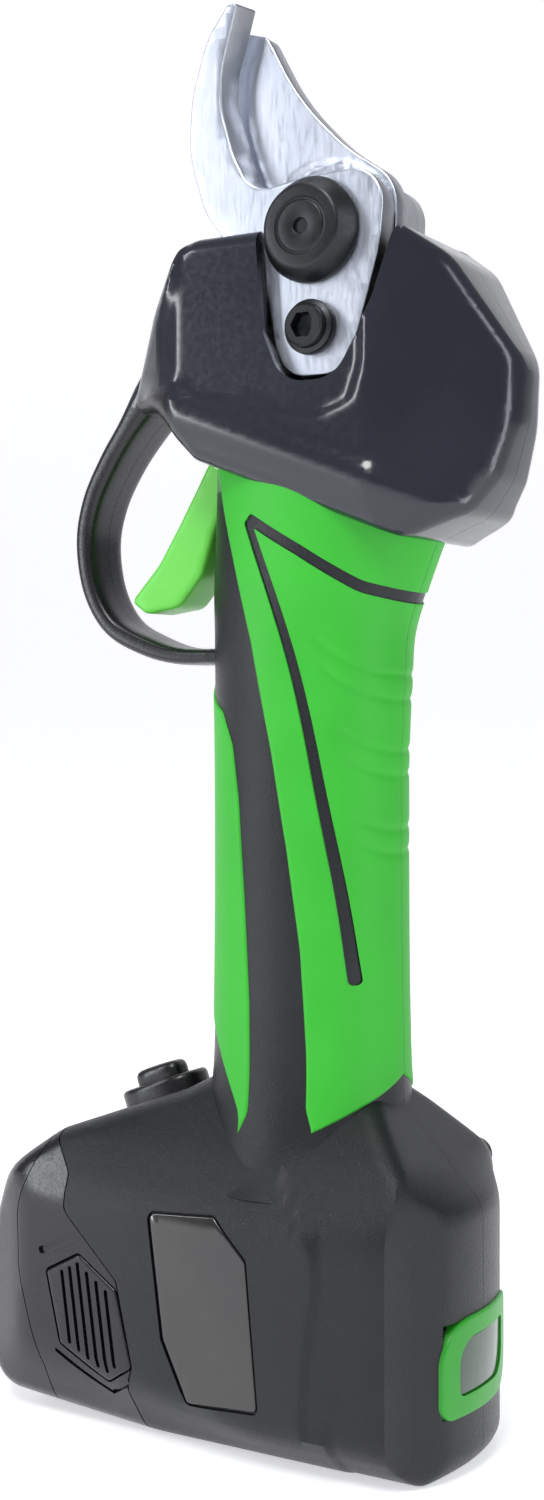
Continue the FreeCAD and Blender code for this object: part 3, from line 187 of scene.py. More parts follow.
def pillow(
    name, corners, top, bottom, radius, arc=6, step=4.0, rings=4, cuts=((), ()),
    place=from_side, smooth=40, walls=1,
):
    """A closed slab over an outline in (u, v) between two faces, with its rim rounded."""
    counts = edge_counts(corners, step)
    stack = []
    for k in range(rings + 1):
        angle = math.pi / 2 * k / rings
        loop = trace(move_inwards(corners, radius * (1 - math.cos(angle))), counts, arc)
        stack.append((loop, 1 + math.sin(angle)))
    wall = [(stack[0][0], level) for level in np.linspace(-1, 1, walls + 1)[1:-1]]
    stack = [(loop, -level) for loop, level in stack[::-1]] + wall + stack
    work = bmesh.new()
    rows = [[work.verts.new((u, v, level)) for u, v in loop] for loop, level in stack]
    count = len(rows[0])
    for low, high in zip(rows, rows[1:]):
        for i in range(count):
            j = (i + 1) % count
            work.faces.new((low[i], low[j], high[j], high[i]))
    work.faces.new(rows[-1])
    work.faces.new(rows[0][::-1])
    for axis, places in enumerate(cuts):
        normal = (1, 0, 0) if axis == 0 else (0, 1, 0)
        for value in places:
            geometry = work.verts[:] + work.edges[:] + work.faces[:]
            point = (value, 0, 0) if axis == 0 else (0, value, 0)
            bmesh.ops.bisect_plane(work, geom=geometry, dist=1e-4, plane_co=point, plane_no=normal)
    co = np.array([v.co for v in work.verts], float)
    u, v, level = co[:, 0], co[:, 1], co[:, 2]
    high = top(u, v) if callable(top) else np.full(len(u), float(top))
    low = bottom(u, v) if callable(bottom) else np.full(len(u), float(bottom))
    lift = radius * (2 - np.abs(level))
    middle = low + radius + (high - low - 2 * radius) * (level + 1) / 2
    height = np.where(level >= 1, high - lift, np.where(level <= -1, low + lift, middle))
    for vert, spot in zip(work.verts, place(u, v, height)):
        vert.co = spot * MM
    mesh = bpy.data.meshes.new(name)
    bmesh.ops.recalc_face_normals(work, faces=work.faces)
    work.to_mesh(mesh)
    work.free()
    piece = bpy.data.objects.new(name, mesh)
    bpy.context.scene.collection.objects.link(piece)
    mesh.shade_smooth()
    mesh.set_sharp_from_angle(angle=math.radians(smooth))
    return piece


def tube_of(name, rings, smooth=40):
    """A closed solid through rings of points, all with the same number of points."""
    rings = [np.asarray(r, float) for r in rings]
    count = len(rings[0])
    verts = np.concatenate(rings)
    faces = []
    for k in range(len(rings) - 1):
        for i in range(count):
            j = (i + 1) % count
            faces.append((k * count + i, k * count + j, (k + 1) * count + j, (k + 1) * count + i))
    faces.append(list(range(count)))
    faces.append(list(range((len(rings) - 1) * count, len(rings) * count)))
    return new_piece(name, verts, faces, smooth)


def lathe(name, profile, centre, axes, scale=(1, 1), turns=64, shape=None, smooth=35):
    """A profile of (radius, height) turned about an axis; shape changes the radius by angle and row."""
    side_a, side_b, up = (np.array(a, float) for a in axes)
    angles = np.linspace(0, 2 * math.pi, turns, endpoint=False)
    rings = []
    for row, (radius, height) in enumerate(profile):
        reach = radius * (shape(angles, row) if shape else 1)
        rings.append(
            np.array(centre)
            + np.outer(np.cos(angles) * reach * scale[0], side_a)
            + np.outer(np.sin(angles) * reach * scale[1], side_b)
            + up * height
        )
    return tube_of(name, rings, smooth)


def carve(target, tools, operation="DIFFERENCE", smooth=35):
    for tool in tools:
        cutter = target.modifiers.new("carve", "BOOLEAN")
        cutter.object = tool
        cutter.operation = operation
        cutter.solver = "MANIFOLD"
    bpy.context.view_layer.update()
    done = target.evaluated_get(bpy.context.evaluated_depsgraph_get())
    mesh = bpy.data.meshes.new_from_object(done)
    target.modifiers.clear()
    target.data = mesh
    for tool in tools:
        bpy.data.objects.remove(tool)
    mesh.shade_smooth()
    mesh.set_sharp_from_angle(angle=math.radians(smooth))
    return target


def copy_of(piece, name):
    twin = bpy.data.objects.new(name, piece.data.copy())
    bpy.context.scene.collection.objects.link(twin)
    return twin


def slab(name, low, high, cuts=((), ())):
    """A plain box used only as a cutter."""
    outline = [(low[0], low[2], 0), (high[0], low[2], 0), (high[0], high[2], 0), (low[0], high[2], 0)]
    return pillow(name, outline, high[1], low[1], 0.01, arc=1, step=500, rings=1, cuts=cuts)


# ------------------------------------------------------------------ materials
def shader_tree(name):
    made = bpy.data.materials.new(name)
    made.use_nodes = True
    tree = made.node_tree
    shader = tree.nodes["Principled BSDF"]
    where = tree.nodes.new("ShaderNodeTexCoord")
    return made, tree, shader, where


def texture(tree, where, kind, scale, stretch=(1, 1, 1), **settings):
    mapping = tree.nodes.new("ShaderNodeMapping")
    mapping.inputs["Scale"].default_value = stretch
    tree.links.new(where.outputs["Object"], mapping.inputs["Vector"])
    node = tree.nodes.new(kind)
    node.inputs["Scale"].default_value = scale
    for key, value in settings.items():
        if key in node.inputs:
            node.inputs[key].default_value = value
        else:
            setattr(node, key, value)
    tree.links.new(mapping.outputs["Vector"], node.inputs["Vector"])
    return node


def spread(tree, source, low, high, start=0.3, end=0.7):
    node = tree.nodes.new("ShaderNodeMapRange")
    node.inputs["From Min"].default_value = start
    node.inputs["From Max"].default_value = end
    node.inputs["To Min"].default_value = low
    node.inputs["To Max"].default_value = high
    tree.links.new(source, node.inputs["Value"])
    return node.outputs["Result"]


def mix_colours(tree, factor, first, second):
    node = tree.nodes.new("ShaderNodeMix")
    node.data_type = "RGBA"
    node.inputs["A"].default_value = (*first, 1)
    node.inputs["B"].default_value = (*second, 1)
    tree.links.new(factor, node.inputs["Factor"])
    return node.outputs["Result"]


def bump(tree, shader, sources):
    """Bump nodes in a chain; sources are (height, strength, distance in metres)."""
    last = None
    for height, strength, distance in sources:
        node = tree.nodes.new("ShaderNodeBump")
        node.inputs["Strength"].default_value = strength
        node.inputs["Distance"].default_value = distance
        tree.links.new(height, node.inputs["Height"])
        if last:
            tree.links.new(last, node.inputs["Normal"])
        last = node.outputs["Normal"]
    tree.links.new(last, shader.inputs["Normal"])


def plastic(name, colour, second_tone, rough, grain_scale, grain, coat=0.0, specular=0.5):
    """Moulded plastic: colour drift, uneven gloss, moulded grain and fine scuffs."""
    made, tree, shader, where = shader_tree(name)
    drift = texture(tree, where, "ShaderNodeTexNoise", 38, Detail=4.0)
    fine = texture(tree, where, "ShaderNodeTexNoise", grain_scale, Detail=3.0, Roughness=0.6)
    scuffs = texture(tree, where, "ShaderNodeTexNoise", 260, stretch=(1, 1, 0.16), Detail=5.0)
    # The drift to the second tone is random tone on most plastics; on the window its strong drift to a
    # lighter tone is a painted wavy reflection.
    shade = spread(tree, drift.outputs["Fac"], 0, 1, 0.35, 0.7)
    colours = mix_colours(tree, shade, colour, second_tone)
    tree.links.new(colours, shader.inputs["Base Color"])
    gloss = spread(tree, fine.outputs["Fac"], rough[0], rough[1], 0.3, 0.72)
    tree.links.new(gloss, shader.inputs["Roughness"])
    shader.inputs["Specular IOR Level"].default_value = specular
    shader.inputs["Coat Weight"].default_value = coat
    shader.inputs["Coat Roughness"].default_value = 0.12
    bump(tree, shader, [
        (fine.outputs["Fac"], grain, 0.0002),
        (scuffs.outputs["Fac"], 0.05, 0.0002),
    ])
    return made


def soft_rubber(name, colour, second_tone, rough=(0.5, 0.62)):
    """Soft-touch skin: fine pebble grain, faint dust and a little sheen."""
    made, tree, shader, where = shader_tree(name)
    drift = texture(tree, where, "ShaderNodeTexNoise", 55, Detail=5.0)
    pebbles = texture(tree, where, "ShaderNodeTexVoronoi", 1900)
    fine = texture(tree, where, "ShaderNodeTexNoise", 2600, Detail=2.0)
    shade = spread(tree, drift.outputs["Fac"], 0, 1, 0.3, 0.75)
    tree.links.new(mix_colours(tree, shade, colour, second_tone), shader.inputs["Base Color"])
    tree.links.new(spread(tree, drift.outputs["Fac"], rough[0], rough[1]), shader.inputs["Roughness"])
    shader.inputs["Sheen Weight"].default_value = 0.08
    shader.inputs["Sheen Roughness"].default_value = 0.4
    bump(tree, shader, [
        (pebbles.outputs["Distance"], 0.12, 0.0001),
        (fine.outputs["Fac"], 0.1, 0.0001),
    ])
    return made


def metal(name, colour, dark, rough, stretch=(1, 1, 1), scale=900, grain=0.12):
    """Ground or turned metal: stretched grinding marks, uneven polish and faint stains."""
    made, tree, shader, where = shader_tree(name)
    marks = texture(tree, where, "ShaderNodeTexNoise", scale, stretch=stretch, Detail=4.0, Roughness=0.65)
    stains = texture(tree, where, "ShaderNodeTexNoise", 90, Detail=5.0)
    shade = spread(tree, stains.outputs["Fac"], 0, 1, 0.35, 0.8)
    tree.links.new(mix_colours(tree, shade, colour, dark), shader.inputs["Base Color"])
    tree.links.new(spread(tree, marks.outputs["Fac"], rough[0], rough[1]), shader.inputs["Roughness"])
    shader.inputs["Metallic"].default_value = 1.0
    bump(tree, shader, [(marks.outputs["Fac"], grain, 0.0001), (stains.outputs["Fac"], 0.04, 0.0005)])
    return made


HEAD_BLACK = plastic(
    "head_black", (0.011, 0.013, 0.021), (0.016, 0.018, 0.028),
    (0.16, 0.26), 900, 0.05, coat=0.2,
)
SATIN_BLACK = plastic(
    "satin_black", (0.004, 0.0045, 0.007), (0.008, 0.009, 0.013),
    (0.25, 0.42), 3000, 0.6, specular=0.4,
)
BATTERY_BLACK = plastic(
    "battery_black", (0.005, 0.005, 0.008), (0.008, 0.008, 0.012),
    (0.2, 0.3), 1600, 0.1,
)
GUARD_BLACK = plastic(
    "guard_black", (0.005, 0.005, 0.007), (0.008, 0.008, 0.01),
    (0.24, 0.36), 1800, 0.12,
)
SWITCH_BLACK = plastic(
    "switch_black", (0.004, 0.004, 0.005), (0.007, 0.007, 0.008),
    (0.22, 0.34), 1500, 0.08,
)
# The window's dark first tone is its own colour; the lighter grey-brown second tone, drifting in broad
# patches over the glass, is a painted wavy reflection.
WINDOW_BLACK = plastic(
    "window_black", (0.012, 0.012, 0.013), (0.03, 0.029, 0.028),
    (0.1, 0.2), 500, 0.03, coat=0.5,
)
DEEP_BLACK = plastic("deep_black", (0.006, 0.006, 0.007), (0.01, 0.01, 0.011), (0.5, 0.6), 900, 0.1)
GRIP_GREEN = soft_rubber("grip_green", (0.018, 0.39, 0.012), (0.026, 0.44, 0.018))
TRIGGER_GREEN = plastic(
    "trigger_green", (0.1, 0.54, 0.045), (0.13, 0.6, 0.06),
    (0.32, 0.42), 900, 0.04,
)
BEZEL_GREEN = plastic(
    "bezel_green", (0.018, 0.31, 0.014), (0.026, 0.36, 0.02),
    (0.32, 0.44), 1400, 0.06,
)
BLADE_STEEL = metal(
    "blade_steel", (0.64, 0.68, 0.77), (0.52, 0.56, 0.65),
    (0.28, 0.46), (1, 1, 0.22), 1400, 0.2,
)
EDGE_STEEL = metal(
    "edge_steel", (0.42, 0.43, 0.46), (0.3, 0.31, 0.34),
    (0.3, 0.45), (0.3, 1, 1), 1400, 0.2,
)
BLACK_STEEL = metal(
    "black_steel", (0.05, 0.052, 0.056), (0.03, 0.031, 0.034),
    (0.34, 0.48), scale=1200, grain=0.1,
)
TURNED_STEEL = metal("turned_steel", (0.52, 0.53, 0.55), (0.36, 0.36, 0.37), (0.25, 0.42))
CAST = metal(
    "cast_aluminium", (0.6, 0.61, 0.62), (0.5, 0.5, 0.5),
    (0.42, 0.58), scale=1500, grain=0.3,
)
BRONZE = metal(
    "sintered_bronze", (0.5, 0.31, 0.14), (0.34, 0.2, 0.09),
    (0.35, 0.5), scale=2200, grain=0.3,
)
COPPER = metal(
    "enamelled_copper", (0.55, 0.24, 0.1), (0.4, 0.16, 0.07),
    (0.22, 0.35), (1, 1, 0.1), 2600, 0.5,
)
MAGNET = metal("nickel_magnet", (0.3, 0.3, 0.31), (0.2, 0.2, 0.21), (0.25, 0.4))
BOARD = plastic("circuit_board", (0.008, 0.09, 0.035), (0.015, 0.13, 0.05), (0.3, 0.45), 700, 0.2)
CELL_WRAP = plastic("cell_wrap", (0.03, 0.11, 0.3), (0.04, 0.14, 0.36), (0.25, 0.35), 400, 0.03)
LENS = plastic(
    "display_lens", (0.045, 0.075, 0.05), (0.06, 0.1, 0.068),
    (0.12, 0.2), 400, 0.02, coat=0.4,
)
WIRE = soft_rubber("wire_cover", (0.22, 0.012, 0.012), (0.28, 0.02, 0.02))
BLACK_RUBBER = soft_rubber("black_rubber", (0.012, 0.012, 0.014), (0.02, 0.02, 0.022))
SLOT_MATERIALS = {
    "housing": SATIN_BLACK, "grip": GRIP_GREEN, "blade_steel": BLADE_STEEL, "black_steel": BLACK_STEEL,
    "steel": TURNED_STEEL, "bronze": BRONZE, "aluminium": CAST, "magnet": MAGNET, "copper": COPPER,
    "board": BOARD, "trigger": TRIGGER_GREEN, "switch_rubber": BLACK_RUBBER, "button": SWITCH_BLACK,
    "black_plastic": DEEP_BLACK, "bezel": BEZEL_GREEN, "lens": LENS, "battery_shell": BATTERY_BLACK,
    "cell": CELL_WRAP, "wire": WIRE,
}


def paint(piece, *materials):
    piece.data.materials.clear()
    for item in materials:
        piece.data.materials.append(item)


def by_height(piece, rule):
    """Gives each face the material number that rule returns for its centre in millimetres."""
    centres = np.array([face.center for face in piece.data.polygons]) / MM
    numbers = rule(centres[:, 0], centres[:, 1], centres[:, 2]).astype(np.int32)
    piece.data.polygons.foreach_set("material_index", numbers)


def finish_piece(piece, body, slot, *replaced):
    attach(piece, body)
    if replaced:
        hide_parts(*replaced)
    return piece


for part in frame["record"]["subparts"]:
    if part["node"] in frame["nodes"]:
        paint(frame["nodes"][part["node"]], SLOT_MATERIALS[part["material_slot"]])

# ------------------------------------------------------------------ housing form
WALL = 2.2
HEAD = [
    (-37.8, 178.4, 5), (-26.8, 173.8, 5), (17, 190.5, 5), (27, 200.5, 5), (38.3, 202.5, 3),
    (29, 221, 14),
    (19, 233.5, 7), (-24, 233.5, 10), (-34.5, 226, 12), (-46.2, 206.5, 8), (-45.4, 195, 20),
    (-42.4, 185, 8),
]
head_plan = bent_line([(-46.6, 5.2), (-44.6, 7.2), (-22.5, 20), (21, 20), (38, 9.2), (40, 8)], 1.6)
BASE = [
    (-36.2, 0, 5), (26, 0, 60), (62, 3.4, 9), (71.2, 14, 9), (69, 31, 18), (61, 48, 14),
    (48.5, 57.5, 8), (24, 66.5, 5),
    (18, 70, 2), (-16, 70, 2), (-36.2, 49, 7),
]
base_plan = bent_line([(-36.2, 14.5), (-28.5, 26), (-13, 27.4), (27, 27), (54, 24.5), (71, 15.5)], 3.5)
base_end = bent_line([(0, 17.5), (8.5, 27.5), (45, 27.5), (58, 19.5), (66, 12.5), (71, 6)], 3.0)
REAR_CURVE = 2.5
HANDLE = [
    # height, centre x, half depth, half width
    (50, 0.8, 26.0, 25.0), (54, 0.8, 23.6, 21.9), (58, 0.8, 21.9, 20.1), (62, 0.8, 21.0, 18.8),
    (66, 0.8, 20.5, 17.9),
    (72, 0.8, 20.1, 17.1), (82, 0.8, 19.8, 16.7),
    (95, 0.8, 19.6, 16.5), (120, 0.8, 19.5, 16.5), (135, 0.8, 19.6, 16.5), (147, 0.6, 20.0, 16.8),
    (158, 0.2, 20.5, 17.1), (165, -0.9, 21.8, 17.4), (172, -2.4, 23.0, 17.9),
    (186, -5.6, 25.8, 18.7), (201, -6.4, 26.4, 18.8),
]
handle_centre = smooth_line([h[0] for h in HANDLE], [h[1] for h in HANDLE])
handle_depth = smooth_line([h[0] for h in HANDLE], [h[2] for h in HANDLE])
handle_width = smooth_line([h[0] for h in HANDLE], [h[3] for h in HANDLE])


def handle_point(z, angle, lift=0.0):
    return np.stack([
        handle_centre(z) + (handle_depth(z) + lift) * np.cos(angle),
        (handle_width(z) + lift) * np.sin(angle),
        z + 0 * angle,
    ], -1)


def handle_solid(name, low, high, lift, turns=120):
    angles = np.linspace(0, 2 * math.pi, turns, endpoint=False)
    heights = np.linspace(low, high, 96)
    return tube_of(name, [handle_point(np.full(turns, z), angles, lift) for z in heights])


RECESS_DEPTH = 1.1
RECESS_RAMP = 2.0
RIDGE_HEIGHT = 8.5
RIDGE_RISE = 1.9
RIDGE_DROP = 1.3
RECESS = [
    (17.6, 240), (25.4, 216), (24.2, 206.6), (18, 201.8), (6, 200.2), (-2, 197.4), (-12, 196.2),
    (-18.6, 198.6),
    (-21.2, 206), (-21.6, 240),
]


def head_seam(x):
    """Height of the line between the head and the soft grips."""
    return 184.9 + 0.385 * x


def head_face(x, z):
    """Half width of the head, with the recess round the hook's opening and the ridge over the seam."""
    depth = RECESS_DEPTH * ease(inside(x, z, RECESS) / RECESS_RAMP)
    height = z - head_seam(x)
    ridge = RIDGE_RISE * ease((height - 1.0) / (RIDGE_HEIGHT - 1.0))
    ridge = ridge - RIDGE_DROP * ease((height - RIDGE_HEIGHT - 0.6) / 2.6)
    rear = ease((x + 42) / 10) * ease((34 - x) / 8)
    return head_plan(x) - depth + (ridge - 0.4) * rear


def base_width(x, z):
    """Half width of the base; its lower edge is cut away more and more towards the front."""
    low = 8.5 + 0.2 * np.clip(x, 0, 60)
    height = np.where(z < low, z * 8.5 / low, np.maximum(z, 9.0))
    return softer(base_plan(x), base_end(height), 3.0)


def base_face(x, z):
    width = base_width(x, z)
    edge = np.interp(z, [9, 11, 40, 46, 53], [-16.4, -10.6, -14.3, -12.7, -4.2])
    step = 0.7 * ease((edge - x) / 0.9)
    return width - step


def both_sides(face, less):
    return lambda u, v: face(u, v) - less, lambda u, v: less - face(u, v)


def rear_bowed(u, v, h):
    """The base's rear face bulges backwards in the middle."""
    return np.stack([u + REAR_CURVE * (h / 14) ** 2 * np.clip((-28 - u) / 8, 0, 1), h, v], -1)


def base_solid(name, less, radius, step=2.4):
    top, bottom = both_sides(base_face, less)
    cuts = (np.arange(-35, 71, step), np.arange(1.2, 70, step))
    fine = np.arange(-17.5, -3, 0.8)
    if less == 0:
        cuts = (np.union1d(cuts[0], fine), cuts[1])
    return pillow(
        name, move_inwards(BASE, less), top, bottom, radius, arc=7, step=3.0, rings=5, cuts=cuts,
        place=rear_bowed, walls=14,
    )


def head_solid(name, less, radius, step):
    face = head_face if less == 0 else (lambda x, z: head_plan(x))
    top, bottom = both_sides(face, less)
    cuts = (np.arange(-46, 38, step), np.arange(173, 233, step) if less == 0 else ())
    outline = move_inwards(HEAD, less)
    return pillow(name, outline, top, bottom, radius, arc=8, step=3.0, rings=6, cuts=cuts)


# ------------------------------------------------------------------ finger guard
GUARD = [
    # x, z, half thickness, half width
    (10, 153.0, 1.6, 6.2), (19, 152.8, 1.6, 6.2), (29.5, 153.0, 1.8, 6.2), (37.7, 155.2, 2.1, 6.2),
    (45.4, 159.3, 2.2, 6.2),
    (50.2, 166.7, 2.3, 6.2), (51.9, 176.6, 2.4, 6.2), (50.2, 185.2, 2.5, 6.3),
    (45.9, 193.2, 2.6, 6.4), (40.8, 200.0, 2.8, 6.8),
    (35.6, 206.6, 4.0, 7.2), (30, 212.5, 5.0, 7.5),
]


def guard_solid():
    steps = np.linspace(0, len(GUARD) - 1, 90)
    index = np.arange(len(GUARD))
    x, z, thick, wide = (smooth_line(index, [g[k] for g in GUARD])(steps) for k in range(4))
    dx, dz = np.gradient(x), np.gradient(z)
    length = np.hypot(dx, dz)
    nx, nz = dz / length, -dx / length
    angles = np.linspace(0, 2 * math.pi, 48, endpoint=False)
    across = np.sign(np.sin(angles)) * np.abs(np.sin(angles)) ** 0.45
    out = np.sign(np.cos(angles)) * np.abs(np.cos(angles)) ** 0.62
    rings = []
    for i in range(len(steps)):
        rings.append(np.stack([
            x[i] + nx[i] * thick[i] * out, wide[i] * across, z[i] + nz[i] * thick[i] * out,
        ], -1))
    return tube_of("guard", rings)


# ------------------------------------------------------------------ housing halves
HOOK_OPENING = [
    (3.6, 246, 1), (-30.5, 246, 1), (-22.6, 217.5, 12), (-14.4, 203.8, 7), (-3.2, 203.8, 7),
    (1.0, 214, 6),
]
TOP_OPENING = [
    (-19, 206, 1), (3, 206, 1), (12.4, 226, 2), (12.4, 250, 1), (-27, 250, 1), (-27, 222, 2),
]
BATTERY_JOINT = [
    (27.4, -8, 1), (90, -8, 1), (90, 63.5, 1), (47.5, 63.5, 1), (47.5, 56.5, 2), (42.2, 50.5, 3),
    (42.5, 43.5, 3),
    (29.4, 31.6, 2), (25.6, 15.6, 1), (27.4, 10.5, 1),
]
CAP_JOINT = [
    (48.5, -8, 1), (90, -8, 1), (90, 64, 1), (49.6, 64, 1), (49.6, 55, 4), (55.2, 42, 10),
    (54.6, 29.6, 12), (48.5, 11, 3),
]
SCREWS = [
    (-35.5, 206, 10), (29.5, 207.5, 13), (4.6, 128, 14), (-0.3, 84, 14), (-25, 53, 22.5),
    (-20, 7, 24), (20, 55, 22),
]
POST_END = 9.5
HALF_GAP = 0.05
SIDE_AXES = ((1, 0, 0), (0, 0, 1), (0, 1, 0))


def cutter(name, outline, low, high):
    return pillow(name, outline, high, low, 0.02, arc=6, step=500, rings=1)


def peg(name, x, z, low, high, radius):
    return lathe(name, [(radius, low), (radius, high)], (x, 0, z), SIDE_AXES, turns=28)


def make_housing():
    outside = head_solid("housing", 0, 3.2, 1.4)
    additions = [handle_solid("middle", 50.5, 199, 0), base_solid("lower", 0, 3.0), guard_solid()]
    carve(outside, additions, "UNION")
    rooms = [
        head_solid("head_room", WALL, 1.5, 4.0),
        handle_solid("handle_room", 50, 188, -WALL - 0.6, 72),
        base_solid("base_room", WALL, 1.5, 5.0),
    ]
    carve(outside, rooms)
    posts = [peg(f"post_{n}", x, z, -reach, POST_END, 3.2) for n, (x, z, reach) in enumerate(SCREWS)]
    carve(outside, posts, "UNION")
    openings = [
        cutter("top_opening", TOP_OPENING, -14.5, 16.4),
        cutter("hook_opening", HOOK_OPENING, 10.0, 30),
        slab("trigger_slot", (12, -6, 163.5), (32, 6, 197.5)),
        slab("display_window", (-40, -13, 11.9), (-33.2, 13, 29.3)),
        cutter("battery_bay", BATTERY_JOINT, -60, 60),
    ]
    for n, (x, z, reach) in enumerate(SCREWS):
        openings.append(peg(f"screw_bore_{n}", x, z, -40, 7.5, 1.5))
        openings.append(peg(f"screw_head_{n}", x, z, -40, -reach + 3, 3.0))
    for hand in ("left", "right"):
        around = move_inwards(WINDOW, -0.35)
        openings.append(side_block(f"{hand}_window_recess", hand, around, base_face, -0.9, 3))
    carve(outside, openings)
    for hand, low, high in (("left", HALF_GAP, 60), ("right", -60, -HALF_GAP)):
        half = copy_of(outside, f"{hand}_housing_shell")
        grid = (np.arange(-47, 72, 2.3), np.arange(0.7, 235, 2.3))
        carve(half, [slab("half_space", (-80, low, -20), (90, high, 300), grid)], "INTERSECT")
        paint(half, HEAD_BLACK, SATIN_BLACK, GUARD_BLACK)
        by_height(half, housing_regions)
        finish_piece(half, "tool", "housing", f"{hand}_housing")
    bpy.data.objects.remove(outside)


def housing_regions(x, y, z):
    head = z > head_seam(np.clip(x, -40, 26)) - 6
    guard = (x > 21.5) & (z < 204)
    return np.where(head & ~guard, 0, np.where(guard & (z > 100), 2, 1))


# ------------------------------------------------------------------ soft grips
SIDE_FRONT = bent_line([
    (60, -8.2), (62.8, -8.3), (66.8, -6.9), (78, -6.5), (96.8, -5.2), (115.6, -2.6), (134.5, 0.7),
    (155.5, 5.1), (171, 9.6),
    (186.7, 14.8), (191.6, 16.4), (196, 17.6),
], 1.0)
FRONT_REAR = bent_line([
    (59, 7.4), (61.2, 6.7), (65.2, 4.9), (86.3, 5.4), (105.5, 6.7), (124.7, 8.3), (135.3, 10.1),
    (141.7, 13.4), (146, 17),
], 1.0)
inlay_x = smooth_line([90, 106.7, 125.2, 153.4, 170.7, 178.6], [-14.6, -12.5, -9.3, -3.6, 2.2, 5.4])
INLAY_LONG = [(float(inlay_x(z)), z) for z in np.linspace(90, 178.6, 22)]
INLAY_TOP = [(5.2, 178.9), (-6.1, 172.3), (-16.7, 165.3), (-29.1, 161.4), (-36, 160.4)]
GROOVES = [
    # start (x, z), end (x, z), sag
    ((-8.5, 155.5), (-24, 148.4), 2.2), ((-10.0, 149.8), (-24, 143.6), 2.0),
    ((-12.8, 137.8), (-24, 133.6), 1.6),
    ((-13.8, 132.6), (-24, 128.6), 1.4), ((-15.0, 121.1), (-24, 118.3), 1.0),
    ((-15.6, 116.2), (-24, 113.6), 0.8),
]


SKIN_EDGE = 0.75
SKIN_SUNK = 0.35
SKIN_RISE = 0.72
SKIN_THICK = 0.75
GROOVE_DEPTH = 0.34
GROOVE_HALF = 0.7


def edge_steps(length, step):
    """Sample places along an edge: close together at both ends, even between them."""
    ends = np.array([0, 0.12, 0.26, 0.42, 0.6, 0.82, 1.1])
    count = max(4, int((length - 2.8) / step))
    middle = np.linspace(1.4, length - 1.4, count)
    return np.concatenate([ends, middle, length - ends[::-1]]) / length


def grip_profile(distance):
    """How far the skin stands over the housing, by the distance from its edge."""
    t = np.clip(distance / SKIN_EDGE, 0, 1)
    return -SKIN_SUNK + SKIN_RISE * np.sqrt(np.clip(1 - (1 - t) ** 2, 0, 1))


def skin(node, angle_low, angle_high, z_low, z_high, columns, rows, detail, hand):
    """A skin over the handle between two edges; angles and heights are functions of s and z."""
    s, t = np.meshgrid(edge_steps(columns[0], columns[1]), edge_steps(rows[0], rows[1]), indexing="ij")
    z = z_low(s) + (z_high(s) - z_low(s)) * t
    low, high = angle_low(z), angle_high(z)
    angle = low + (high - low) * s
    radius = (handle_depth(z) + handle_width(z)) / 2
    across = np.abs(high - low) * radius
    edge = np.minimum(s * across, np.minimum(z - z_low(s), z_high(s) - z) * 0.9)
    lift = grip_profile(edge)
    x = handle_centre(z) + handle_depth(z) * np.cos(angle)
    lift = lift - detail(x, z)
    outer = handle_point(z, angle, lift)
    inner = handle_point(z, angle, -SKIN_THICK + 0 * lift)
    if hand == "right":
        outer[..., 1] *= -1
        inner[..., 1] *= -1
    wide, tall = s.shape
    verts = np.concatenate([outer.reshape(-1, 3), inner.reshape(-1, 3)])
    total = wide * tall
    faces = []
    for i in range(wide - 1):
        for j in range(tall - 1):
            a, b, c, d = i * tall + j, (i + 1) * tall + j, (i + 1) * tall + j + 1, i * tall + j + 1
            faces += [(a, b, c, d), (a + total, d + total, c + total, b + total)]
    rim = [i * tall for i in range(wide)] + [(wide - 1) * tall + j for j in range(1, tall)]
    rim += [i * tall + tall - 1 for i in range(wide - 2, -1, -1)] + [j for j in range(tall - 2, 0, -1)]
    for a, b in zip(rim, rim[1:] + rim[:1]):
        faces.append((a, b, b + total, a + total))
    piece = new_piece(f"{node}_skin", verts, faces, 60)
    paint(piece, GRIP_GREEN)
    return finish_piece(piece, "tool", "grip", node)


def angle_of(x, z):
    return np.arccos(np.clip((x - handle_centre(z)) / handle_depth(z), -0.999, 0.999))


def finger_grooves(x, z):
    """Depth of the paired finger grooves on the rear half of the skin."""
    depth = 0 * x
    for start, end, sag in GROOVES:
        places = np.linspace(0, 1, 14)
        bow = sag * 4 * places * (1 - places)
        along = start[0] + (end[0] - start[0]) * places
        height = start[1] + (end[1] - start[1]) * places - bow
        arc = list(zip(along, height))
        depth += GROOVE_DEPTH * np.exp(-((line_distance(x, z, arc) / GROOVE_HALF) ** 2))
    return depth


def plain(x, z):
    return 0 * x


def ribbon(name, points, widths, low, high):
    """A cutter along a bent line, with rounded ends."""
    spots = [Vector(p) for p in points]
    last = len(spots) - 1
    near, far = [], []
    for i, (spot, half) in enumerate(zip(spots, widths)):
        along = (spots[min(i + 1, last)] - spots[max(i - 1, 0)]).normalized()
        side = Vector((-along.y, along.x)) * half
        radius = half * 0.9 if i in (0, last) else 8
        near.append((*(spot - side), radius))
        far.append((*(spot + side), radius))
    return cutter(name, near + far[::-1], low, high)


for hand in ("left", "right"):
    side = skin(
        f"{hand}_side_grip", lambda z: angle_of(SIDE_FRONT(z), z), lambda z: math.pi - 0.004 + 0 * z,
        lambda s: 62.4 + 9.5 * s, lambda s: 193.5 - 17.5 * s, (32, 0.6), (126, 0.55), finger_grooves, hand,
    )
    reach = (0, 40) if hand == "left" else (-40, 0)
    carve(side, [
        ribbon("inlay_long", INLAY_LONG, np.linspace(1.15, 1.0, 22), *reach),
        ribbon("inlay_top", INLAY_TOP, (1.1, 1.1, 1.15, 1.2, 1.2), *reach),
    ], smooth=60)
    skin(
        f"{hand}_front_grip", lambda z: angle_of(FRONT_REAR(z), z), lambda z: 0.004 + 0 * z,
        lambda s: 60.8 + 25 * np.sin(s * math.pi / 2) ** 0.9, lambda s: 141.9 + 8 * np.sin(s * math.pi / 2),
        (24, 0.8), (82, 1.0), plain, hand,
    )

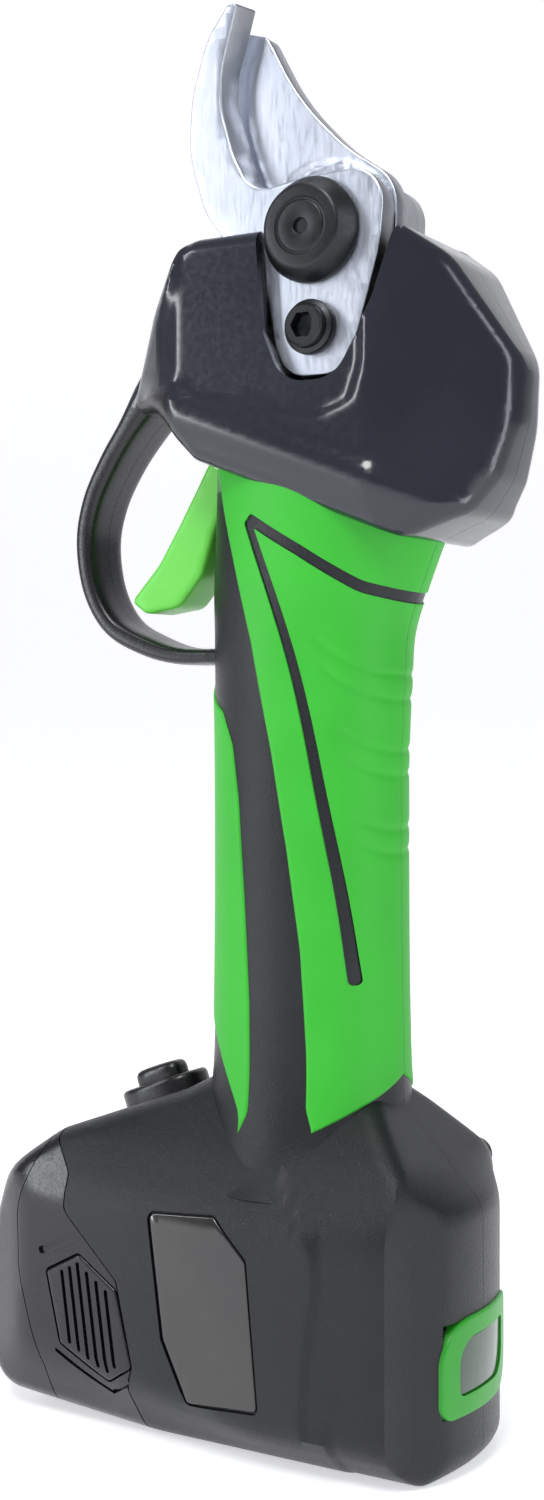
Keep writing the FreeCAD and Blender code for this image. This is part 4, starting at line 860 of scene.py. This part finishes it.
# ------------------------------------------------------------------ battery
BATTERY_GAP = 0.3
RELEASE_PAD = [
    (32.0, 11.4, 1), (43.4, 17.2, 1), (47.0, 31.0, 1), (38.8, 35.4, 1), (29.6, 29.8, 1),
    (25.9, 15.4, 1),
]
SLOT_LEAN = math.radians(8.5)
SLOT_COUNT = 8
SLOT_PITCH = 2.1
CASE_GROOVES = [
    [(48.2, 34.8), (40.4, 37.9)],
    [(44.6, 15.4), (32.0, 8.9), (24.6, 13.2)],
]


def moved(outline, dx):
    return [(u + dx, v, r) for u, v, r in outline]


def on_hand(hand, face, lift):
    """A surface lifted from the base's side, on the left or the right."""
    if hand == "left":
        return lambda u, v: face(u, v) + lift
    return lambda u, v: -face(u, v) - lift


def side_block(name, hand, outline, face, inner, outer, radius=0.02, **settings):
    """A slab that follows the base's side, from inner to outer above its surface."""
    low, high = on_hand(hand, face, inner), on_hand(hand, face, outer)
    if hand == "right":
        low, high = high, low
    return pillow(name, outline, high, low, radius, **settings)


def bar(points, half):
    """A thin outline along a short straight line."""
    (ax, ay), (bx, by) = points
    along = Vector((bx - ax, by - ay)).normalized() * half
    side = Vector((-along.y, along.x))
    start, end = Vector(points[0]), Vector(points[1])
    corners = [start - along - side, end + along - side, end + along + side, start - along + side]
    return [(c.x, c.y, half * 0.8) for c in corners]


def pad_slots():
    """The slanted slots of the release pad, each ending a little inside its rim."""
    outline = [(u, v) for u, v, r in RELEASE_PAD]
    centre_u, centre_v = 36.4, 23.4
    found = []
    for n in range(SLOT_COUNT):
        offset = (n - (SLOT_COUNT - 1) / 2) * SLOT_PITCH
        steps = np.linspace(-14, 14, 113)
        u = centre_u + offset * math.cos(SLOT_LEAN) + steps * math.sin(SLOT_LEAN)
        v = centre_v - offset * math.sin(SLOT_LEAN) + steps * math.cos(SLOT_LEAN)
        keep = np.where(inside(u, v, outline) > 1.7)[0]
        if len(keep) > 8:
            found.append([(u[keep[0]], v[keep[0]]), (u[keep[-1]], v[keep[-1]])])
    return found


def make_battery():
    whole = base_solid("battery_block", 0, 3.0)
    carve(whole, [cutter("battery_space", moved(BATTERY_JOINT, BATTERY_GAP), -60, 60)], "INTERSECT")
    cap = copy_of(whole, "battery_cap_shell")
    carve(cap, [cutter("cap_space", moved(CAP_JOINT, 0.25), -60, 60)], "INTERSECT")
    case = copy_of(whole, "battery_case_shell")
    bpy.data.objects.remove(whole)
    carve(case, [cutter("cap_side", CAP_JOINT, -60, 60)])
    tail = base_solid("battery_tail", WALL + 0.8, 1.5, 5.0)
    carve(tail, [slab("tail_space", (-14, -22.4, 3.2), (38, 22.4, 48.6))], "INTERSECT")
    carve(case, [tail], "UNION")
    holes = [slab(f"terminal_{n}", (-16, 8 * n - 8.8, 23.4), (-9, 8 * n - 7.2, 30.6)) for n in range(3)]
    for hand in ("left", "right"):
        around = move_inwards(RELEASE_PAD, -0.3)
        holes.append(side_block(f"{hand}_pocket", hand, around, base_width, -4.6, 4))
        for n, line in enumerate(CASE_GROOVES):
            for m, run in enumerate(zip(line, line[1:])):
                width = 0.75 if n == 0 else 0.4
                outline = bar(run, width)
                holes.append(side_block(f"{hand}_groove_{n}_{m}", hand, outline, base_width, -0.7, 3))
    carve(case, holes)
    for piece, node in ((cap, "battery_cap"), (case, "battery_case")):
        paint(piece, BATTERY_BLACK)
        finish_piece(piece, "battery", "battery_shell", node)
    for hand in ("left", "right"):
        pad = side_block(
            f"{hand}_pad", hand, RELEASE_PAD, base_width, -2.6, 0.15, radius=0.5, step=2.0, rings=3,
            cuts=(np.arange(27, 47, 2.0), np.arange(12, 35, 2.0)),
        )
        carve(pad, [
            side_block(f"{hand}_slot_{n}", hand, bar(line, 0.42), base_width, -1.3, 3)
            for n, line in enumerate(pad_slots())
        ])
        paint(pad, BATTERY_BLACK)
        finish_piece(pad, f"{hand}_release", "battery_shell", f"{hand}_release_pad")


make_battery()

# ------------------------------------------------------------------ side windows
WINDOW = [
    (22, 45.9, 1.2), (7.6, 46.9, 1.2), (0.4, 39.7, 1.5), (-2.2, 11.8, 1), (13.2, 10.8, 1),
    (18.8, 22.2, 3),
]
make_housing()
for hand in ("left", "right"):
    window = side_block(
        f"{hand}_side_window", hand, move_inwards(WINDOW, 0.12), base_face, -0.85, -0.1,
        radius=0.3, rings=3, cuts=(np.arange(-2, 22, 2.4), np.arange(12, 47, 2.4)),
    )
    paint(window, WINDOW_BLACK)
    finish_piece(window, "tool", "housing")

# ------------------------------------------------------------------ display
DISPLAY_FRAME = [(-13.8, 11.6, 8), (13.8, 11.6, 3), (13.8, 29.6, 8), (-13.8, 29.6, 2)]
DISPLAY_GLASS = [(-9.4, 15.4, 5), (9.4, 15.4, 1.6), (9.4, 26.0, 5), (-9.4, 26.0, 1.2)]
REAR = -36.2


def on_rear(u, v, h):
    return np.stack([REAR - h + REAR_CURVE * (u / 14) ** 2, u, v], -1)


across_display = (np.arange(-13, 14, 1.5), ())
bezel = pillow(
    "display_frame", DISPLAY_FRAME, 0.6, -2.6, 0.5, arc=10, place=on_rear, cuts=across_display,
)
carve(bezel, [pillow("glass_hole", DISPLAY_GLASS, 3, -6, 0.02, arc=10, rings=1, place=on_rear)])
paint(bezel, BEZEL_GREEN)
finish_piece(bezel, "tool", "bezel", "display_bezel")
glass = pillow(
    "display_glass", move_inwards(DISPLAY_GLASS, 0.1), 0.25, -1.4, 0.35, arc=10, place=on_rear,
    cuts=across_display,
)
paint(glass, LENS)
finish_piece(glass, "tool", "lens", "display_lens")

# ------------------------------------------------------------------ blades
HOOK = [
    (8.6, 278.3, 0.4), (13.2, 262.5, 44), (9.2, 249.0, 16), (5.0, 241.2, 9), (-6, 242.8, 8),
    (-23.6, 243.4, 12),
    (-22.3, 228, 20), (-15.6, 205.0, 7), (-1.0, 205.0, 7), (1.6, 221, 8), (10.0, 231.0, 1),
    (15.8, 238.8, 16),
    (19.4, 250.5, 24), (18.7, 261.5, 24), (15.4, 272.2, 16), (10.6, 278.3, 0.8),
]
HOOK_EDGE = [
    (8.6, 278.3), (10.6, 271.4), (11.6, 262.8), (11.1, 257), (9.9, 252.2), (7.9, 247.6),
    (4.5, 243.4), (1.5, 242),
]
HOOK_INNER, HOOK_OUTER = 10.5, 16.0
PIVOT_X, PIVOT_Z = -8.2, 232.4
LOCK_DROP = 18.3


def slanted(u, v, h):
    """The hook's inner face leans back, towards the moving blade."""
    near_edge = ease(1.15 - line_distance(u, v, HOOK_EDGE) / 1.6)
    return np.stack([u - 1.5 * near_edge * (HOOK_OUTER - h) / (HOOK_OUTER - HOOK_INNER), h, v], -1)


def split_materials(piece, first, second, limit=0.6):
    """The flat sides take the first material and the rims the second."""
    paint(piece, first, second)
    across = np.array([abs(face.normal.y) for face in piece.data.polygons])
    piece.data.polygons.foreach_set("material_index", (across < limit).astype(np.int32))


hook = pillow(
    "hook_blade", HOOK, HOOK_OUTER, HOOK_INNER, 0.45, arc=14, step=1.6, rings=3,
    cuts=(np.arange(-22, 24, 2.2), np.arange(206, 278, 2.2)), place=slanted,
)
carve(hook, [
    peg("hook_bolt_hole", PIVOT_X, PIVOT_Z, 0, 30, 4.05),
    peg("hook_lock_hole", PIVOT_X, PIVOT_Z - LOCK_DROP, 0, 30, 3.05),
])
split_materials(hook, BLADE_STEEL, EDGE_STEEL)
finish_piece(hook, "tool", "blade_steel", "fixed_blade")

BLADE = [
    (10, 274.6, 0.6), (4.8, 272.6, 3), (-2.2, 259.5, 60), (-12.5, 248.8, 40), (-23.3, 241.4, 9),
    (-23, 226.3, 14.8),
    (-14.3, 217.6, 14.8), (-2.1, 217.6, 14.8), (6.6, 226.3, 14.8), (7.4, 239, 16), (14.4, 254, 40),
    (13.6, 267, 30),
]
CUTTING_EDGE = [
    (10, 274.6), (12.4, 268), (13.4, 262), (13.6, 256), (12.4, 250), (9.4, 242), (7.6, 237),
]


def blade_left(x, z):
    ground = 1.6 * np.clip(1 - line_distance(x, z, CUTTING_EDGE) / 5.2, 0, 1)
    radius = np.hypot(x - PIVOT_X, z - PIVOT_Z)
    ring = 0.5 * ease((0.9 - np.abs(radius - 13.6)) / 0.4)
    return 10.4 - np.maximum(ground, ring * (x < 0))


blade = pillow(
    "cutting_blade", BLADE, blade_left, 6.0, 0.3, arc=16, step=1.6, rings=2,
    cuts=(np.arange(-23, 14, 0.7), np.arange(218, 274, 0.7)),
)
carve(blade, [peg("blade_hole", PIVOT_X, PIVOT_Z, 0, 30, 5.55)])
split_materials(blade, BLADE_STEEL, EDGE_STEEL)
finish_piece(blade, "moving_blade", "blade_steel", "moving_blade")

nut = lathe("pivot_nut_turned", [
    (4.2, 16.0), (9.8, 16.0), (10.0, 16.2), (10.0, 17.0), (9.8, 17.35), (8.0, 20.5), (7.6, 20.85),
    (7.2, 20.95),
    (5.5, 21.0), (5.3, 20.75), (4.9, 20.72), (4.7, 20.95), (4.5, 21.0), (1.75, 21.0), (1.5, 20.9),
    (1.35, 20.6), (1.3, 18.0),
], (PIVOT_X, 0, PIVOT_Z), SIDE_AXES, turns=96)
paint(nut, BLACK_STEEL)
finish_piece(nut, "tool", "black_steel", "pivot_nut")


def socket(angles, row):
    """Rows past the head's rim take the six-sided outline of the key socket."""
    if row < 8:
        return 1
    sixth = math.pi / 3
    return math.cos(sixth / 2) / np.cos(np.mod(angles, sixth) - sixth / 2)


lock = lathe("lock_screw_head", [
    (3.0, 5.6), (3.0, 16.0), (5.2, 16.0), (5.2, 17.4), (5.0, 17.8), (4.2, 18.2), (4.0, 19.6),
    (3.6, 20.0), (2.6, 20.0),
    (2.5, 19.8), (2.45, 17.6), (0.4, 17.3),
], (PIVOT_X, 0, PIVOT_Z - LOCK_DROP), SIDE_AXES, turns=72, shape=socket)
paint(lock, BLACK_STEEL)
finish_piece(lock, "tool", "black_steel", "blade_lock_screw")

# ------------------------------------------------------------------ trigger
TRIGGER = [
    (12.6, 187.6, 1), (19.6, 180, 16), (23.2, 169, 6), (28.6, 162.8, 4), (36.8, 161.6, 2),
    (40.4, 164.2, 1.2),
    (33.6, 171.5, 20), (28.6, 179.5, 20), (22.6, 190.5, 8), (19.2, 195.4, 3), (12.8, 195, 3),
]


def trigger_half(x, z):
    return 5.4 - 0.5 * ease((z - 178) / 12)


trigger = pillow(
    "trigger_lever", TRIGGER, trigger_half, lambda x, z: -trigger_half(x, z), 1.1, arc=8, step=1.5, rings=4,
    cuts=(np.arange(13, 40, 1.6), np.arange(162, 195, 1.6)),
)
carve(trigger, [peg("trigger_hole", 16.2, 191, -9, 9, 1.6)])
paint(trigger, TRIGGER_GREEN)
finish_piece(trigger, "trigger", "trigger", "trigger")

# ------------------------------------------------------------------ power switch
LEAN = math.radians(20.2)
SWITCH_AXES = ((math.cos(LEAN), 0, -math.sin(LEAN)), (0, 1, 0), (math.sin(LEAN), 0, math.cos(LEAN)))
SWITCH_SPOT = (34.4, 0, 62.7)


def squarer(power):
    def shape(angles, row):
        return (np.abs(np.cos(angles)) ** power + np.abs(np.sin(angles)) ** power) ** (-1 / power)
    return shape


boot = lathe("switch_puck", [
    (0.9, -2.0), (1.0, -2.0), (1.0, 2.2), (0.985, 2.7), (0.95, 3.05), (0.89, 3.2), (0.66, 3.3),
    (0.62, 3.2), (0.6, 2.4),
], SWITCH_SPOT, SWITCH_AXES, (9.4, 6.3), 72, squarer(2.6))
paint(boot, SWITCH_BLACK)
finish_piece(boot, "tool", "switch_rubber", "switch_boot")
knob = lathe("switch_knob", [
    (0.94, 0.6), (1.0, 1.0), (1.0, 4.6), (0.97, 5.4), (0.9, 5.9), (0.78, 6.2), (0.5, 6.35),
    (0.2, 6.4),
], SWITCH_SPOT, SWITCH_AXES, (5.5, 3.2), 64, squarer(3.4))
paint(knob, SWITCH_BLACK)
finish_piece(knob, "power_button", "button", "power_button")

# ------------------------------------------------------------------ camera, light and floor
def aim(piece, target):
    direction = Vector(target) - piece.location
    piece.rotation_euler = direction.to_track_quat("-Z", "Y").to_euler()


camera_data = bpy.data.cameras.new("photo_view")
camera_data.lens = 46.8
camera_data.sensor_fit = "VERTICAL"
camera_data.sensor_height = 36
camera_data.shift_y = -0.0333
CAMERA_SPOT = Vector((-0.1852, 0.33775, 0.144))
LOOK_ALONG = Vector((0.5, -0.8660254, 0))
camera = bpy.data.objects.new("photo_view", camera_data)
camera.location = CAMERA_SPOT
aim(camera, CAMERA_SPOT + LOOK_ALONG)
bpy.context.scene.collection.objects.link(camera)
bpy.context.scene.camera = camera


def soft_light(name, spot, target, size, power, colour=(1, 1, 1)):
    lamp = bpy.data.lights.new(name, "AREA")
    lamp.shape = "RECTANGLE"
    lamp.size, lamp.size_y = size
    lamp.energy = power
    lamp.color = colour
    holder = bpy.data.objects.new(name, lamp)
    holder.location = spot
    aim(holder, target)
    bpy.context.scene.collection.objects.link(holder)


soft_light("key", (-0.1, 0.6, 0.85), (0, 0, 0.12), (0.3, 0.3), 4.2)
soft_light("left_strip", (0.6, 0.6, 0.3), (0, 0, 0.14), (0.12, 0.8), 3.2, (0.95, 0.97, 1.0))
soft_light("rear_edge", (-0.75, 0.1, 0.35), (0, 0, 0.14), (0.15, 0.7), 1.8, (0.9, 0.94, 1.0))
soft_light("top", (0.05, 0.05, 0.95), (0, 0, 0.2), (0.4, 0.4), 1.6)

bpy.context.scene.view_settings.view_transform = "Standard"
world = bpy.data.worlds.new("studio")
world.use_nodes = True
background = world.node_tree.nodes["Background"]
background.inputs["Color"].default_value = (0.93, 0.95, 1.0, 1)
background.inputs["Strength"].default_value = 0.3
bpy.context.scene.world = world

FLOOR_REACH = 3.0
bend = np.linspace(0, math.pi / 2, 17)
rows = [(-FLOOR_REACH, 0.0)]
rows += [(FLOOR_REACH - 1 + math.sin(a), 1 - math.cos(a)) for a in bend]
rows.append((FLOOR_REACH, 4.0))
across = Vector((0.8660254, 0.5, 0))
floor_verts = []
for distance, height in rows:
    for side in (-4, 4):
        spot = LOOK_ALONG * distance + across * side
        floor_verts.append((spot.x / MM, spot.y / MM, (height - 0.0002) / MM))
floor_faces = [(2 * i, 2 * i + 1, 2 * i + 3, 2 * i + 2) for i in range(len(rows) - 1)]
floor = new_piece("studio_floor", floor_verts, floor_faces, 80)
floor_material, floor_tree, floor_shader, floor_where = shader_tree("paper_floor")
paper = texture(floor_tree, floor_where, "ShaderNodeTexNoise", 300, Detail=3.0)
paper_colour = mix_colours(floor_tree, paper.outputs["Fac"], (0.86, 0.86, 0.87), (0.88, 0.88, 0.89))
floor_tree.links.new(paper_colour, floor_shader.inputs["Base Color"])
floor_shader.inputs["Roughness"].default_value = 0.9
floor_shader.inputs["Emission Color"].default_value = (0.98, 0.98, 1.0, 1)
floor_shader.inputs["Emission Strength"].default_value = 0.55
paint(floor, floor_material)
